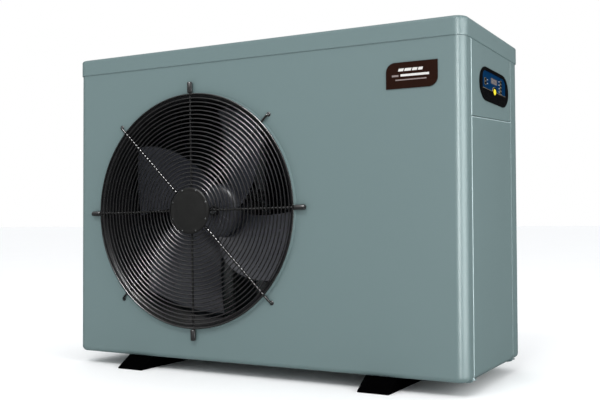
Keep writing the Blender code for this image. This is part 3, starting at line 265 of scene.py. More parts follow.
def piece(name, shape, surface, body="cabinet", nodes=(), sharp=38, flat_first=False):
    """Turns a bmesh into a piece that rides on a body and stands for CAD nodes."""
    bmesh.ops.remove_doubles(shape, verts=shape.verts, dist=MERGE)
    bmesh.ops.recalc_face_normals(shape, faces=shape.faces)
    made = meshed(name, shape)
    made.data.materials.append(surface)
    soften(made, sharp, flat_first)
    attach(made, body)
    if nodes:
        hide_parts(*nodes)
    return made


def soften(made, sharp, flat_first):
    made.data.shade_smooth()
    made.data.set_sharp_from_angle(angle=math.radians(sharp))
    if flat_first:
        even = made.modifiers.new("even_flats", "WEIGHTED_NORMAL")
        even.keep_sharp = True
        even.weight = 80


def settle(made):
    """Replaces an object's mesh by what its modifiers make of it."""
    bpy.context.view_layer.update()
    graph = bpy.context.evaluated_depsgraph_get()
    mesh = bpy.data.meshes.new_from_object(made.evaluated_get(graph))
    made.modifiers.clear()
    made.data = mesh
    return made


def cut(made, shape):
    """Cuts a closed bmesh out of a piece."""
    bmesh.ops.recalc_face_normals(shape, faces=shape.faces)
    cutter = meshed("cutter", shape)
    step = made.modifiers.new("cut", "BOOLEAN")
    step.operation = "DIFFERENCE"
    step.solver = "EXACT"
    step.object = cutter
    settle(made)
    bpy.data.objects.remove(cutter, do_unlink=True)
    return made


def bridge(shape, rows, closed=True):
    for low, high in zip(rows, rows[1:]):
        count = len(low)
        for n in range(count if closed else count - 1):
            m = (n + 1) % count
            shape.faces.new((low[n], low[m], high[m], high[n]))


def prism(shape, rows):
    """Bridges rows of points and fills both ends."""
    bridge(shape, rows)
    shape.faces.new(rows[0])
    shape.faces.new(rows[-1])


def circle(count, shift=0.0):
    """Angles that go once round in even steps."""
    return [2 * math.pi * (n + shift) / count for n in range(count)]


def quarter(steps, first=0):
    """Angles of a quarter turn in even steps, from a step on."""
    return [math.pi / 2 * n / steps for n in range(first, steps + 1)]


def ring(shape, middle, radius, y, steps):
    """A circle of points about an axis along Y."""
    x, z = middle
    return [shape.verts.new((x + radius * math.cos(t), y, z + radius * math.sin(t))) for t in circle(steps)]


def lathe(shape, profile, place, steps=64, closed=False):
    """Turns (radius, along) points about an axis along Y through a place."""
    rows = []
    for radius, along in profile:
        spots = [Vector((radius * math.cos(t), along, radius * math.sin(t))) for t in circle(steps, 0.5)]
        rows.append([shape.verts.new(Vector(place) + spot) for spot in spots])
    bridge(shape, rows + rows[:1] if closed else rows)


def tube(shape, points, radius, sides=10, closed=False, radii=None):
    """A round bar along points, with flat ends unless it is closed."""
    points = [Vector(p) for p in points]
    count = len(points)
    rows, side = [], None
    for n, point in enumerate(points):
        before = points[n - 1] if n or closed else point
        after = points[(n + 1) % count] if n + 1 < count or closed else point
        along = (after - before).normalized()
        side = along.orthogonal() if side is None else side - along * side.dot(along)
        side.normalize()
        up = along.cross(side)
        size = radii[n] if radii else radius
        rows.append([shape.verts.new(point + side * size * math.cos(t) + up * size * math.sin(t))
                     for t in circle(sides)])
    if closed:
        bridge(shape, rows + rows[:1])
    else:
        prism(shape, rows)


def rounded_bar(shape, start, end, radius, sides=8, steps=4):
    """A bar whose ends are domed."""
    start, end = Vector(start), Vector(end)
    dome = (end - start).normalized() * radius * 0.6
    shares = [1 - math.cos(t) for t in quarter(steps)]
    radii = [max(radius * 0.05, radius * math.sin(t)) for t in quarter(steps)]
    points = [start + dome * share for share in shares] + [end - dome * share for share in shares[::-1]]
    tube(shape, points, radius, sides, radii=radii + radii[::-1])


def arc(centre, radius, start, end, steps, radius_up=None):
    up = radius if radius_up is None else radius_up
    angles = [math.radians(start + (end - start) * n / steps) for n in range(steps + 1)]
    return [(centre[0] + radius * math.cos(a), centre[1] + up * math.sin(a)) for a in angles]


def slab(shape, loop, low, high, edge=0.0, axis="X", steps=3):
    """A flat piece from an outline, from low to high along an axis, with its high edge rounded.

    The outline is anticlockwise about the middle. Its edge is rounded by moving points to their inward side.
    """
    inward = []
    for before, after in zip(loop[-1:] + loop[:-1], loop[1:] + loop[:1]):
        along = (Vector(after) - Vector(before)).normalized()
        inward.append(Vector((-along.y, along.x)))
    sign = 1 if high > low else -1
    levels = [(0.0, low)]
    levels += [(edge * (1 - math.cos(t)), high - sign * edge * (1 - math.sin(t))) for t in quarter(steps)]
    rows = []
    for inset, level in levels:
        row = []
        for (a, b), way in zip(loop, inward):
            a, b = a + way.x * inset, b + way.y * inset
            place = {"X": (level, a, b), "Y": (a, level, b), "Z": (a, b, level)}[axis]
            row.append(shape.verts.new(place))
        rows.append(row)
    prism(shape, rows)


def round_box(low, high, radius, steps):
    """Outline of a rectangle with round corners, between two opposite corners."""
    left, right = low[0] + radius, high[0] - radius
    bottom, top = low[1] + radius, high[1] - radius
    loop = []
    for a, b, start in ((right, top, 0), (left, top, 90), (left, bottom, 180), (right, bottom, 270)):
        loop += arc((a, b), radius, start, start + 90, steps)
    return loop


def block(shape, low, high):
    low, high = Vector(low), Vector(high)
    place = Matrix.Translation((low + high) / 2) @ Matrix.Diagonal((*(high - low), 1))
    bmesh.ops.create_cube(shape, size=1, matrix=place)


# ---- casing ----------------------------------------------------------------------
CURL, FLANGE = 0.0014, 0.006
CORNER_STEPS = 14
REAR_SPLIT = (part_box("left_side_panel")[1].x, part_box("rear_panel")[0].x)


def straight(start, end):
    start, end = Vector(start), Vector(end)
    along = (end - start).normalized()
    out = Vector((along.y, -along.x))
    return [(start, out), (end, out)]


def corner(side, back, start):
    """Points of an upright corner in plan, each with its outward direction."""
    centre = Vector((side * (SIDE - CORNER_R), BACK - CORNER_R if back else FRONT + CORNER_R))
    found = []
    for n in range(CORNER_STEPS + 1):
        angle = math.radians(start + 90 * n / CORNER_STEPS)
        out = Vector((math.cos(angle), math.sin(angle)))
        found.append((centre + out * CORNER_R, out))
    return found


def curl(end, inner, highlight):
    """One end of a plan path, turned inwards over a small radius, from its flange to the flat sheet, with a
    painted highlight share on the rounded points.
    """
    point, out = end
    ahead = (inner[0] - point).normalized()
    found = [(point - out * FLANGE, -ahead, 0.0)]
    for angle in quarter(4):
        way = -ahead * math.cos(angle) + out * math.sin(angle)
        found.append((point + ahead * CURL - out * CURL + way * CURL, way, highlight))
    found[-1] = (*found[-1][:2], highlight / 2)
    return found + [(point + ahead * CURL * 1.6, out, 0.0)]


def curled(path, highlight):
    """Turns both ends of a plan path inwards. Adds how much painted highlight each point gets."""
    flat = [(point, way, 0.0) for point, way in path[1:-1]]
    return curl(path[0], path[1], highlight[0]) + flat + curl(path[-1], path[-2], highlight[1])[::-1]


def hem_rows():
    """Rows of a wall's lower edge, turned inwards."""
    rows = [(HEM_R + 0.008, BASE), (HEM_R, BASE)]
    return rows + [(HEM_R * (1 - math.sin(t)), BASE + HEM_R * (1 - math.cos(t))) for t in quarter(8, 1)]


def slope(y, ends):
    """The height of a sloping line over the side, between its front and rear heights."""
    share = (y - SEAM_FRONT) / (SEAM_REAR - SEAM_FRONT)
    return ends[0] + (ends[1] - ends[0]) * min(1.0, max(0.0, share))


def wall(name, path, rows, ends=(1.0, 1.0)):
    """Sheet wall from a plan path. A row is (inset, height or (front height, rear height), painted highlight
    share if any). The edge attribute holds the painted highlight.
    """
    shape = bmesh.new()
    seam_highlight = shape.verts.layers.float.new("edge")
    grid = []
    for inset, height, *highlights in rows:
        line = []
        for point, out, highlight in curled(path, ends):
            x, y = point - out * inset
            z = slope(y, height) if isinstance(height, tuple) else height
            vertex = shape.verts.new((x, y, z))
            # painted highlight share for this point, read by the casing enamel
            vertex[seam_highlight] = max(0.0, highlight, *highlights)
            line.append(vertex)
        grid.append(line)
    bridge(shape, grid, closed=False)
    made = piece(name + "_skin", shape, PAINT, nodes=(name,), sharp=50)
    skin = made.modifiers.new("thickness", "SOLIDIFY")
    skin.thickness = SHEET
    skin.offset = -1
    return settle(made)


def roll_rows(ends, upward, highlight=1.0):
    """Rows that turn a sheet's upper or lower end inwards, along a sloping line, with a painted highlight
    share on the rounded rows.
    """
    sign = 1 if upward else -1
    rows = [(0.0, tuple(z - sign * CURL * 1.8 for z in ends), 0.0)]
    for angle in quarter(4):
        level = tuple(z - sign * CURL * (1 - math.sin(angle)) for z in ends)
        rows.append((CURL * (1 - math.cos(angle)), level, highlight if angle else highlight * 0.4))
    rows.append((FLANGE, ends, 0.0))
    return rows if upward else rows[::-1]


def drill(made, middle, y, radius, steps=64):
    """Cuts a round hole along Y through a sheet."""
    hole, reach = bmesh.new(), 0.02
    profile = [(0, -reach), (radius, -reach), (radius, reach), (0, reach)]
    lathe(hole, profile, (middle[0], y, middle[1]), steps)
    bmesh.ops.remove_doubles(hole, verts=hole.verts, dist=MERGE)
    return cut(made, hole)


def make_front():
    line = straight((-SIDE, SEAM_FRONT), (-SIDE, FRONT + CORNER_R))[:1] + corner(-1, False, 180)
    line += corner(1, False, 270) + straight((SIDE, FRONT + CORNER_R), (SIDE, SEAM_FRONT))[1:]
    made = wall("front_panel", line, hem_rows() + [(0, WALL_TOP)], (1.0, 0.3))
    soften(drill(made, (FAN.x, FAN.z), FRONT, 0.2313, OPENING_STEPS), 35, True)
    collar = bmesh.new()
    profile = [(0.2350, 0.0), (0.2341, -0.0007), (0.2336, -0.0022), (0.2333, -0.0046), (0.2330, -0.0054),
               (0.2327, -0.0056), (0.2326, -0.0050), (0.2326, 0.0002)]
    lathe(collar, profile, (FAN.x, FRONT, FAN.z), OPENING_STEPS)
    piece("opening_collar", collar, PAINT, sharp=50)


def make_side():
    """Service panel and the cover above it, which meet along a sloping seam."""
    side = straight((SIDE, SEAM_FRONT + SEAM), (SIDE, SEAM_REAR - SEAM))
    low = tuple(z - SEAM for z in COVER_LOW)
    soften(wall("service_panel", side, hem_rows() + roll_rows(low, True), (1.0, 0.0)), 35, True)
    cover = wall("control_cover", side, roll_rows(COVER_LOW, False, highlight=0.0) + [(0, WALL_TOP)], (1.0, 0.0))
    opening = bmesh.new()
    slab(opening, bezel_loop(0.006), SIDE - 0.02, SIDE + 0.02)
    soften(cut(cover, opening), 35, True)


def make_rear():
    line = straight((SIDE, SEAM_REAR), (SIDE, BACK - CORNER_R))[:1] + corner(1, True, 0)
    line += straight((SIDE - CORNER_R, BACK), (REAR_SPLIT[1], BACK))[1:]
    made = wall("rear_panel", line, hem_rows() + [(0, WALL_TOP)], (0.0, 1.0))
    for spot in UNIONS:
        drill(made, spot, BACK, PIPE_R + 0.0012)
    soften(made, 35, True)


def make_left():
    line = straight((REAR_SPLIT[0], BACK), (-SIDE + CORNER_R, BACK))[:1] + corner(-1, True, 90)
    line += straight((-SIDE, BACK - CORNER_R), (-SIDE, SEAM_FRONT + SEAM))[1:]
    made = wall("left_side_panel", line, hem_rows() + [(0, WALL_TOP)])
    soften(cut(made, slot_cutter()), 35, True)


def slot_cutter():
    """Round-ended air slots for the left side, as one cutter."""
    wide, tall, pitch, rows = 0.084, 0.016, 0.040, 13
    reach = wide / 2 - tall / 2
    shape = bmesh.new()
    for column in (0, 1):
        y = SEAM_FRONT + 0.030 + column * (wide + 0.020) + wide / 2
        for row in range(rows):
            z = BASE + 0.055 + row * pitch + tall / 2
            loop = arc((y + reach, z), tall / 2, -90, 90, 8) + arc((y - reach, z), tall / 2, 90, 270, 8)
            slab(shape, loop, -SIDE - 0.01, -SIDE + 0.01)
    return shape


def make_lid():
    """Lid: skirt with a turned-in lower edge, round corners and a round upper edge, and its flat sheet."""
    shape = bmesh.new()
    radius, edge, lip = CORNER_R + 0.002, 0.005, 0.0012
    rows = [(0.006, LID_LOW)]
    rows += [(lip * (1 - math.sin(t)), LID_LOW + lip * (1 - math.cos(t))) for t in quarter(4)]
    rows += [(0, LID_LOW + 0.004), (0, TOP - edge - 0.002)]
    rows += [(edge * (1 - math.cos(t)), TOP - edge * (1 - math.sin(t))) for t in quarter(8)]
    rows.append((edge + 0.004, TOP))
    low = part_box("top_cover")[0]
    grid = []
    for inset, height in rows:
        loop = round_box((low.x + inset, low.y + inset), (LID_X - inset, LID_Y - inset),
                         max(radius - inset, 0.004), CORNER_STEPS)
        grid.append([shape.verts.new((x, y, height)) for x, y in loop])
    rim = [(vertex.co.x * 0.9999, vertex.co.y * 0.9999) for vertex in grid[-1]]
    grid.append([shape.verts.new((v.co.x, v.co.y, TOP - SHEET)) for v in grid[-1]])
    bridge(shape, grid)
    sheet = bmesh.new()
    slab(sheet, rim, TOP - SHEET, TOP, axis="Z")
    piece("lid_sheet", sheet, PAINT, sharp=50, flat_first=True)
    piece("lid_skin", shape, PAINT, nodes=("top_cover",), sharp=50, flat_first=True)


# ---- control panel ---------------------------------------------------------------
PANEL_LOW, PANEL_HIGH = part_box("display_bezel")
PANEL_Y, PANEL_Z = (PANEL_LOW.y + PANEL_HIGH.y) / 2, (PANEL_LOW.z + PANEL_HIGH.z) / 2
PANEL_W, PANEL_H, PANEL_END = PANEL_HIGH.y - PANEL_LOW.y, PANEL_HIGH.z - PANEL_LOW.z, 0.040
BEZEL_FACE = PANEL_HIGH.x
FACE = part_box("display_fascia")[1].x
POWER = middle_of("power_button")
KEY_GAP, WINDOW_GAP = 0.0004, 0.0003
KEYS = [name for name in frame["nodes"] if name.startswith(("left_button", "right_button"))]


def bezel_loop(shrink, steps=20):
    wide, tall, across = PANEL_W / 2 - shrink, PANEL_H / 2 - shrink, PANEL_END - shrink
    loop = arc((PANEL_Y + wide - across, PANEL_Z), across, -90, 90, steps, tall)
    return loop + arc((PANEL_Y - wide + across, PANEL_Z), across, 90, 270, steps, tall)


def fascia_loop(grow=0.0):
    low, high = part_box("display_fascia")[0].z - grow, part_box("display_fascia")[1].z + grow
    half, turn = 0.0750 + grow, 0.020
    wide, tall = 0.0125 - grow, 0.0085 - grow
    rise = math.degrees(math.asin((low - POWER.z) / tall))
    loop = [(PANEL_Y - half, low)] + arc((POWER.y, POWER.z), wide, 180 - rise, rise, 20, tall)
    loop.append((PANEL_Y + half, low))
    loop += arc((PANEL_Y + half - turn, high - 0.012), turn, 0, 90, 10, 0.012)
    return loop + arc((PANEL_Y - half + turn, high - 0.012), turn, 90, 180, 10, 0.012)


def stacked(shape, loops):
    """A row of points for each (x, outline)."""
    return [[shape.verts.new((x, y, z)) for y, z in loop] for x, loop in loops]


def make_bezel():
    shape = bmesh.new()
    base, face = SIDE + 0.0001, BEZEL_FACE
    loops = [(base - 0.004, bezel_loop(0.0066)), (base, bezel_loop(0.0066)), (base, bezel_loop(0)),
             (base + 0.0007, bezel_loop(0))]
    for angle in quarter(5, 1):
        loops.append((face - 0.0010 * (1 - math.sin(angle)), bezel_loop(0.0014 * (1 - math.cos(angle)))))
    loops += [(face, bezel_loop(0.0045)), (face - 0.0005, bezel_loop(0.0056))]
    rows = stacked(shape, loops)
    bridge(shape, rows)
    shape.faces.new(rows[-1])
    made = piece("bezel_moulding", shape, GLOSS, nodes=("display_bezel",), sharp=30)
    well = bmesh.new()
    slab(well, fascia_loop(0.0003), FACE - 0.0016, SIDE + 0.01)
    cut(made, well)
    holes = bmesh.new()
    for name in KEYS:
        slab(holes, key_loop(name, KEY_GAP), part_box(name)[0].x - 0.0015, SIDE + 0.01)
    slab(holes, oval(POWER, 0.0089, 0.0062), POWER.x - 0.006, SIDE + 0.01)
    slab(holes, window_loop(WINDOW_GAP), FACE - 0.0030, SIDE + 0.01)
    soften(cut(made, holes), 30, True)
    groove = bmesh.new()
    line = [(BEZEL_FACE - 0.0006, y, PANEL_Z - 0.0215) for y in (PANEL_Y - 0.045, PANEL_Y, PANEL_Y + 0.059)]
    tube(groove, line, 0.0008)
    piece("bezel_ridge", groove, GLOSS)


def key_loop(name, grow=0.0, radius=0.0012):
    low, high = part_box(name)
    return round_box((low.y - grow, low.z - grow), (high.y + grow, high.z + grow), radius, 5)


def window_loop(grow=0.0):
    return key_loop("display_window", grow, 0.0008)


def oval(middle, wide, tall, steps=40):
    return [(middle.y + wide * math.cos(t), middle.z + tall * math.sin(t)) for t in circle(steps)]


def make_fascia():
    shape = bmesh.new()
    slab(shape, fascia_loop(), FACE - 0.0010, FACE, 0.0001)
    made = piece("fascia_film", shape, BLUE, nodes=("display_fascia",), sharp=30)
    holes = bmesh.new()
    for loop in [key_loop(name, KEY_GAP) for name in KEYS] + [window_loop(WINDOW_GAP)]:
        slab(holes, loop, FACE - 0.003, FACE + 0.003)
    soften(cut(made, holes), 30, True)

    glass = bmesh.new()
    low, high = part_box("display_window")
    slab(glass, window_loop(), low.x, high.x, 0.0002)
    piece("window_pane", glass, WINDOW, nodes=("display_window",), sharp=30,
          flat_first=True)

    digits = bmesh.new()
    for n, lit in enumerate(("abged", "abcdefg", "abcdefg")):
        y = PANEL_Y + 0.0085 * (n - 1)
        seven_segments(digits, lit, high.x + 0.00005, y, (low.z + high.z) / 2, 0.0046, 0.0068)
    piece("window_digits", digits, FAINT)

    marks = bmesh.new()
    for name in KEYS:
        key, side = middle_of(name), -1 if name.startswith("right") else 1
        y = key.y + side * 0.0115
        block(marks, (FACE, y - 0.0028, key.z - 0.0005), (FACE + 0.00012, y + 0.0028, key.z + 0.0005))
    piece("fascia_marks", marks, TICK)

    trim = bmesh.new()
    tube(trim, [(FACE + 0.0001, y, z) for y, z in fascia_loop()[:23]], 0.00055, 8)
    for name in KEYS:
        line = [(FACE + 0.00005, y, z) for y, z in key_loop(name, 0.0006, 0.0016)]
        tube(trim, line, 0.00022, 6, closed=True)
    piece("fascia_trim", trim, GOLD)


def seven_segments(shape, lit, x, y, z, wide, tall):
    """One digit as flat bars."""
    bar = 0.0009
    left, right, low, high = y - wide / 2, y + wide / 2, z - tall / 2, z + tall / 2
    spans = {
        "a": ((left, high - bar), (right, high)), "g": ((left, z - bar / 2), (right, z + bar / 2)),
        "d": ((left, low), (right, low + bar)), "b": ((right - bar, z), (right, high)),
        "c": ((right - bar, low), (right, z)), "f": ((left, z), (left + bar, high)),
        "e": ((left, low), (left + bar, z)),
    }
    inset = 0.00022
    for name in lit:
        (y0, z0), (y1, z1) = spans[name]
        block(shape, (x, y0 + inset, z0 + inset), (x + 0.00006, y1 - inset, z1 - inset))


def make_keys():
    for name in KEYS:
        low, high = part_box(name)
        shape = bmesh.new()
        slab(shape, key_loop(name), low.x, high.x, 0.0006)
        piece(name + "_cap", shape, GLOSS, body=body_of(name), nodes=(name,), sharp=30)
    low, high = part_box("power_button")
    wide, tall = 0.0085, 0.0058
    shape = bmesh.new()
    loops = [(low.x, oval(POWER, wide, tall))]
    for angle in quarter(6):
        share = 1 - 0.30 * (1 - math.cos(angle))
        loops.append((high.x - 0.0012 * (1 - math.sin(angle)), oval(POWER, wide * share, tall * share)))
    prism(shape, stacked(shape, loops))
    piece("power_cap", shape, YELLOW, body="power_key", nodes=("power_button",),
          sharp=40)
    mark = bmesh.new()
    block(mark, (high.x - 0.0001, POWER.y - 0.0003, POWER.z - 0.0018),
          (high.x + 0.00005, POWER.y + 0.0003, POWER.z + 0.0022))
    piece("power_mark", mark, GOLD, body="power_key")


def body_of(node):
    return next(body for body, nodes in frame["record"]["behaviour"]["bodies"].items() if node in nodes)


# ---- fan, guard and bell mouth ---------------------------------------------------
GUARD_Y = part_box("guard_hub_disc")[1].y + 0.0026
RING_R, SPOKE_R, SLEEVE_R = 0.00125, 0.0023, 0.0052
SPOKE_Y = GUARD_Y + RING_R + SPOKE_R - 0.0002
RINGS, RING_PITCH, GUARD_R = 23, 0.0082, 0.2320
GUARD_TURN = math.radians(0.9)


def hoop(shape, radius, y, wire, steps=120, sides=8):
    profile = [(radius + wire * math.cos(t), wire * math.sin(t)) for t in circle(sides)]
    lathe(shape, profile, (FAN.x, y, FAN.z), steps, closed=True)


def sleeve(shape, angle, start, end, y):
    """A thick tube over a spoke's end, with a rounded rim and a hollow in its outer end."""
    along = Vector((math.cos(angle), 0, math.sin(angle)))
    side, depth = Vector((-along.z, 0, along.x)), Vector((0, 1, 0))
    profile = [(start, 0.60), (start + 0.0006, 0.90), (start + 0.0016, 1.0), (end - 0.0016, 1.0),
               (end - 0.0006, 0.93), (end, 0.78), (end, 0.56), (end - 0.0030, 0.50)]
    rows = []
    for place, share in profile:
        middle, size = Vector((FAN.x, y, FAN.z)) + along * place, SLEEVE_R * share
        rows.append([shape.verts.new(middle + side * size * math.cos(t) + depth * size * math.sin(t))
                     for t in circle(20)])
    prism(shape, rows)


def radial(angle, radius, y):
    return (FAN.x + radius * math.cos(angle), y, FAN.z + radius * math.sin(angle))


def make_guard():
    shape = bmesh.new()
    for n in range(RINGS):
        hoop(shape, GUARD_R - RING_PITCH * n, GUARD_Y, RING_R if n else RING_R * 1.25)
    ends = bmesh.new()
    for n in range(8):
        angle = n * math.pi / 4 + GUARD_TURN
        line = [radial(angle, 0.030 + 0.0218 * m, SPOKE_Y) for m in range(11)]
        if n % 2:
            drop = FRONT + 0.0006 - SPOKE_Y
            line += [radial(angle, 0.2480 + 0.0042 * math.sin(t), SPOKE_Y + drop * (1 - math.cos(t)))
                     for t in (0.3, 0.6, 0.9, 1.2, 1.57)]
            x, _, z = radial(angle, 0.2522, 0)
            tip = [(0, -0.0012), (0.0034, -0.0012), (0.0044, -0.0006), (0.0046, 0.0)]
            lathe(ends, tip, (x, FRONT, z), 20)
        tube(shape, line, SPOKE_R, 12)
        if n % 2 == 0:
            sleeve(ends, angle, 0.2345, 0.2565, FRONT - SLEEVE_R - 0.0003)
    piece("wire_guard", shape, WIRE, nodes=("fan_guard",), sharp=60)
    piece("guard_sleeves", ends, SLEEVE, sharp=45)

    disc = bmesh.new()
    low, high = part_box("guard_hub_disc")
    thick, radius = high.y - low.y, 0.0465
    profile = [(0, 0), (radius, 0), (radius, -thick * 0.25)]
    for angle in quarter(6, 1):
        profile.append((radius - 0.0045 * (1 - math.cos(angle)), -thick * (0.25 + 0.65 * math.sin(angle))))
    profile += [(0.0400, -thick * 0.93), (0.0385, -thick * 0.86), (0.0370, -thick * 0.93), (0.0200, -thick),
                (0, -thick)]
    lathe(disc, profile, (FAN.x, high.y, FAN.z), 96)
    piece("hub_cap", disc, DISC, nodes=("guard_hub_disc",), sharp=50)
    clips = bmesh.new()
    profile = [(0, -thick * 0.97), (0.0012, -thick * 0.95), (0.0019, -thick * 0.80), (0.0019, -thick * 0.5)]
    for angle in circle(8, 0.5):
        x, _, z = radial(angle, 0.0425, 0)
        lathe(clips, profile, (x, high.y, z), 14)
    piece("hub_rivets", clips, STEEL)


def blade_point(out, back, lift):
    """A place on a blade: out from root to tip, back from front edge to rear, lift through the blade."""
    root, tip = 0.052, 0.2118
    radius = root + (tip - root) * out
    front_edge, rear_edge = 97 + 43 * out, 172 + 10 * out
    angle = math.radians(front_edge + (rear_edge - front_edge) * back)
    front_depth = 0.022 + 0.050 * (1 - out) ** 2.2
    rear_depth = 0.088 + 0.018 * (1 - out)
    depth = front_depth + (rear_depth - front_depth) * back + 0.008 * math.sin(math.pi * back) + lift
    return Vector((radius * math.cos(angle), depth, radius * math.sin(angle)))


def make_fan():
    shape = bmesh.new()
    across, along = 22, 22  # steps out and round each blade
    for blade in range(4):
        turn = Matrix.Rotation(-blade * math.pi / 2, 4, "Y")
        skins = []
        for sign in (-1, 1):
            grid = []
            for n in range(across + 1):
                line = []
                for m in range(along + 1):
                    out, back = n / across, m / along
                    thin = min(1.0, 6 * min(back, 1 - back) + 0.12, 8 * (1 - out) + 0.12)
                    lift = sign * 0.0017 * math.sqrt(thin)
                    place = turn @ blade_point(out, back, lift)
                    line.append(shape.verts.new(place + FAN))
                grid.append(line)
            bridge(shape, grid, closed=False)
            skins.append(grid)
        low, high = skins
        for a, b in ((low[0], high[0]), (low[-1], high[-1])):
            bridge(shape, [a, b], closed=False)
        for column in (0, -1):
            bridge(shape, [[line[column] for line in low], [line[column] for line in high]], closed=False)
    hub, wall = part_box("motor_shaft")[1].x - FAN.x + 0.0003, 0.003
    rim = 0.056
    profile = [(hub, 0.108), (hub, 0.066), (0.036, 0.066)]
    for angle in quarter(8):
        profile.append((0.042 + 0.014 * math.sin(angle), 0.066 + 0.014 * (1 - math.cos(angle))))
    profile += [(rim, 0.112), (rim - wall, 0.112), (rim - wall, 0.084), (0.020, 0.078), (0.016, 0.108)]
    lathe(shape, profile, FAN, 72, closed=True)
    for angle in circle(12):
        low, high = Vector(radial(angle, 0.018, FAN.y + 0.0653)), Vector(radial(angle, 0.040, FAN.y + 0.0661))
        tube(shape, [low, high], 0.0011, 6)
    piece("fan_moulding", shape, BLADE, body="fan", nodes=("fan_impeller",), sharp=50)

    bell = bmesh.new()
    low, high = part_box("fan_orifice_ring")
    depth, throat, mouth, flange = high.y - FRONT, 0.2185, 0.2312, (high.x - low.x) / 2
    profile = [(mouth, -0.0056), (0.2322, -0.0052), (0.2324, -0.0040), (0.2324, 0.0015), (flange, 0.0015),
               (flange, 0.0045), (throat + 0.0075, 0.0045), (throat + 0.0028, 0.024),
               (throat + 0.0028, depth), (throat, depth)]
    for t in quarter(12)[:-1]:
        profile.append((throat + (mouth - throat) * (1 - math.cos(t)), 0.0184 - 0.024 * math.sin(t)))
    lathe(bell, profile, (FAN.x, FRONT, FAN.z), OPENING_STEPS, closed=True)
    piece("bell_mouth", bell, SHELL, nodes=("fan_orifice_ring",), sharp=50)


# ---- plate, rails, back ----------------------------------------------------------
def make_nameplate():
    low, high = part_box("nameplate")
    radius = 0.0165
    loop = [(low.x, low.z)] + arc((high.x - radius, low.z + radius), radius, 270, 360, 14)
    loop += [(high.x, high.z)] + arc((low.x + radius, high.z - radius), radius, 90, 180, 14)
    shape = bmesh.new()
    slab(shape, loop, high.y, low.y, 0.0004, "Y")
    piece("plate_enamel", shape, BROWN, nodes=("nameplate",), sharp=30, flat_first=True)
    bars = bmesh.new()
    for start, length in ((0.24, 0.10), (0.36, 0.13), (0.51, 0.095), (0.625, 0.085)):
        plate_bar(bars, start, length, 0.655, 0.105, 0.35)
    plate_bar(bars, 0.29, 0.55, 0.455, 0.085)
    piece("plate_bars", bars, INK, sharp=30)
    faint = bmesh.new()
    plate_bar(faint, 0.12, 0.13, 0.455, 0.07)
    plate_bar(faint, 0.19, 0.60, 0.305, 0.045)
    piece("plate_line", faint, FAINT, sharp=30)


def plate_bar(shape, start, length, foot, tall, lean=0.0):
    """A flat bar, leaning to one side. Its places and sizes are shares of the plate's width and height."""
    low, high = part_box("nameplate")
    x, z = low.x + (high.x - low.x) * start, low.z + (high.z - low.z) * foot
    long, tall = (high.x - low.x) * length, (high.z - low.z) * tall
    shift = tall * lean
    loop = [(x, z), (x + long, z), (x + long + shift, z + tall), (x + shift, z + tall)]
    slab(shape, loop, low.y, low.y - 0.00015, 0.0, "Y", 1)


def make_rails():
    ramp, lip, rim = 0.036, 0.003, 0.008
    for word in ("left", "right"):
        low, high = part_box(f"foot_rail_{word}")
        outline = [(low.y, low.z), (high.y, low.z), (high.y, lip), (high.y - ramp, high.z),
                   (low.y + ramp, high.z), (low.y, lip)]
        shape = bmesh.new()
        prism(shape, stacked(shape, [(low.x, outline), (high.x, outline)]))
        made = piece(f"rail_{word}", shape, RUBBER, nodes=(f"foot_rail_{word}",),
                     sharp=30)
        edge = made.modifiers.new("edges", "BEVEL")
        edge.width, edge.segments = 0.0012, 3
        settle(made)
        holes = bmesh.new()
        for n in (-1, 0, 1):
            y = (low.y + high.y) / 2 + n * 0.058
            block(holes, (low.x + rim, y - 0.024, low.z - 0.01), (high.x - rim, y + 0.024, high.z - 0.009))
        soften(cut(made, holes), 30, True)


PIPE_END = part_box("water_inlet_pipe")[1].y


def make_inlet():
    """Pipe stub behind the casing: collar and a chamfered mouth."""
    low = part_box("water_inlet_pipe")[0].y
    shape, collar = bmesh.new(), PIPE_R + 0.004
    profile = [(PIPE_R, low), (PIPE_R, BACK + 0.006), (collar, BACK + 0.006), (collar, BACK + 0.012),
               (PIPE_R, BACK + 0.012), (PIPE_R, PIPE_END - 0.0012), (PIPE_R - 0.0010, PIPE_END),
               (PIPE_BORE + 0.0008, PIPE_END), (PIPE_BORE, PIPE_END - 0.001), (PIPE_BORE, low + 0.006),
               (0, low + 0.006), (0, low)]
    lathe(shape, profile, (UNIONS[0][0], 0, UNIONS[0][1]))
    piece("inlet_stub", shape, PVC, nodes=("water_inlet_pipe",), sharp=40)


def make_outlet():
    """Pipe that rises from the heat exchanger, bends back and goes through the casing."""
    x, z = UNIONS[1]
    paddle = PLACES["paddle_swing"]
    shell_y, bend = paddle.y + 0.0245, 0.040
    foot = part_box("water_outlet_pipe")[0].z
    turn = [(x, y, h) for y, h in arc((shell_y + bend, z - bend), bend, 180, 90, 16)]
    outside = bmesh.new()
    tube(outside, [(x, shell_y, foot)] + turn + [(x, PIPE_END - 0.0012, z)], PIPE_R, 40)
    made = piece("outlet_bend", outside, PVC, nodes=("water_outlet_pipe",), sharp=40)
    bore = bmesh.new()
    tube(bore, [(x, shell_y, foot - 0.01)] + turn + [(x, PIPE_END + 0.01, z)], PIPE_BORE, 40)
    cut(made, bore)
    hole = bmesh.new()
    tube(hole, [(x, paddle.y - 0.012, paddle.z), (x, paddle.y + 0.020, paddle.z)], 0.0060, 24)
    soften(cut(made, hole), 40, True)
    collar, inside, outer = bmesh.new(), PIPE_R + 0.0001, PIPE_R + 0.004
    profile = [(inside, BACK + 0.006), (outer, BACK + 0.006), (outer, BACK + 0.012), (inside, BACK + 0.012)]
    lathe(collar, profile, (x, 0, z), closed=True)
    piece("outlet_collar", collar, PVC, sharp=40)


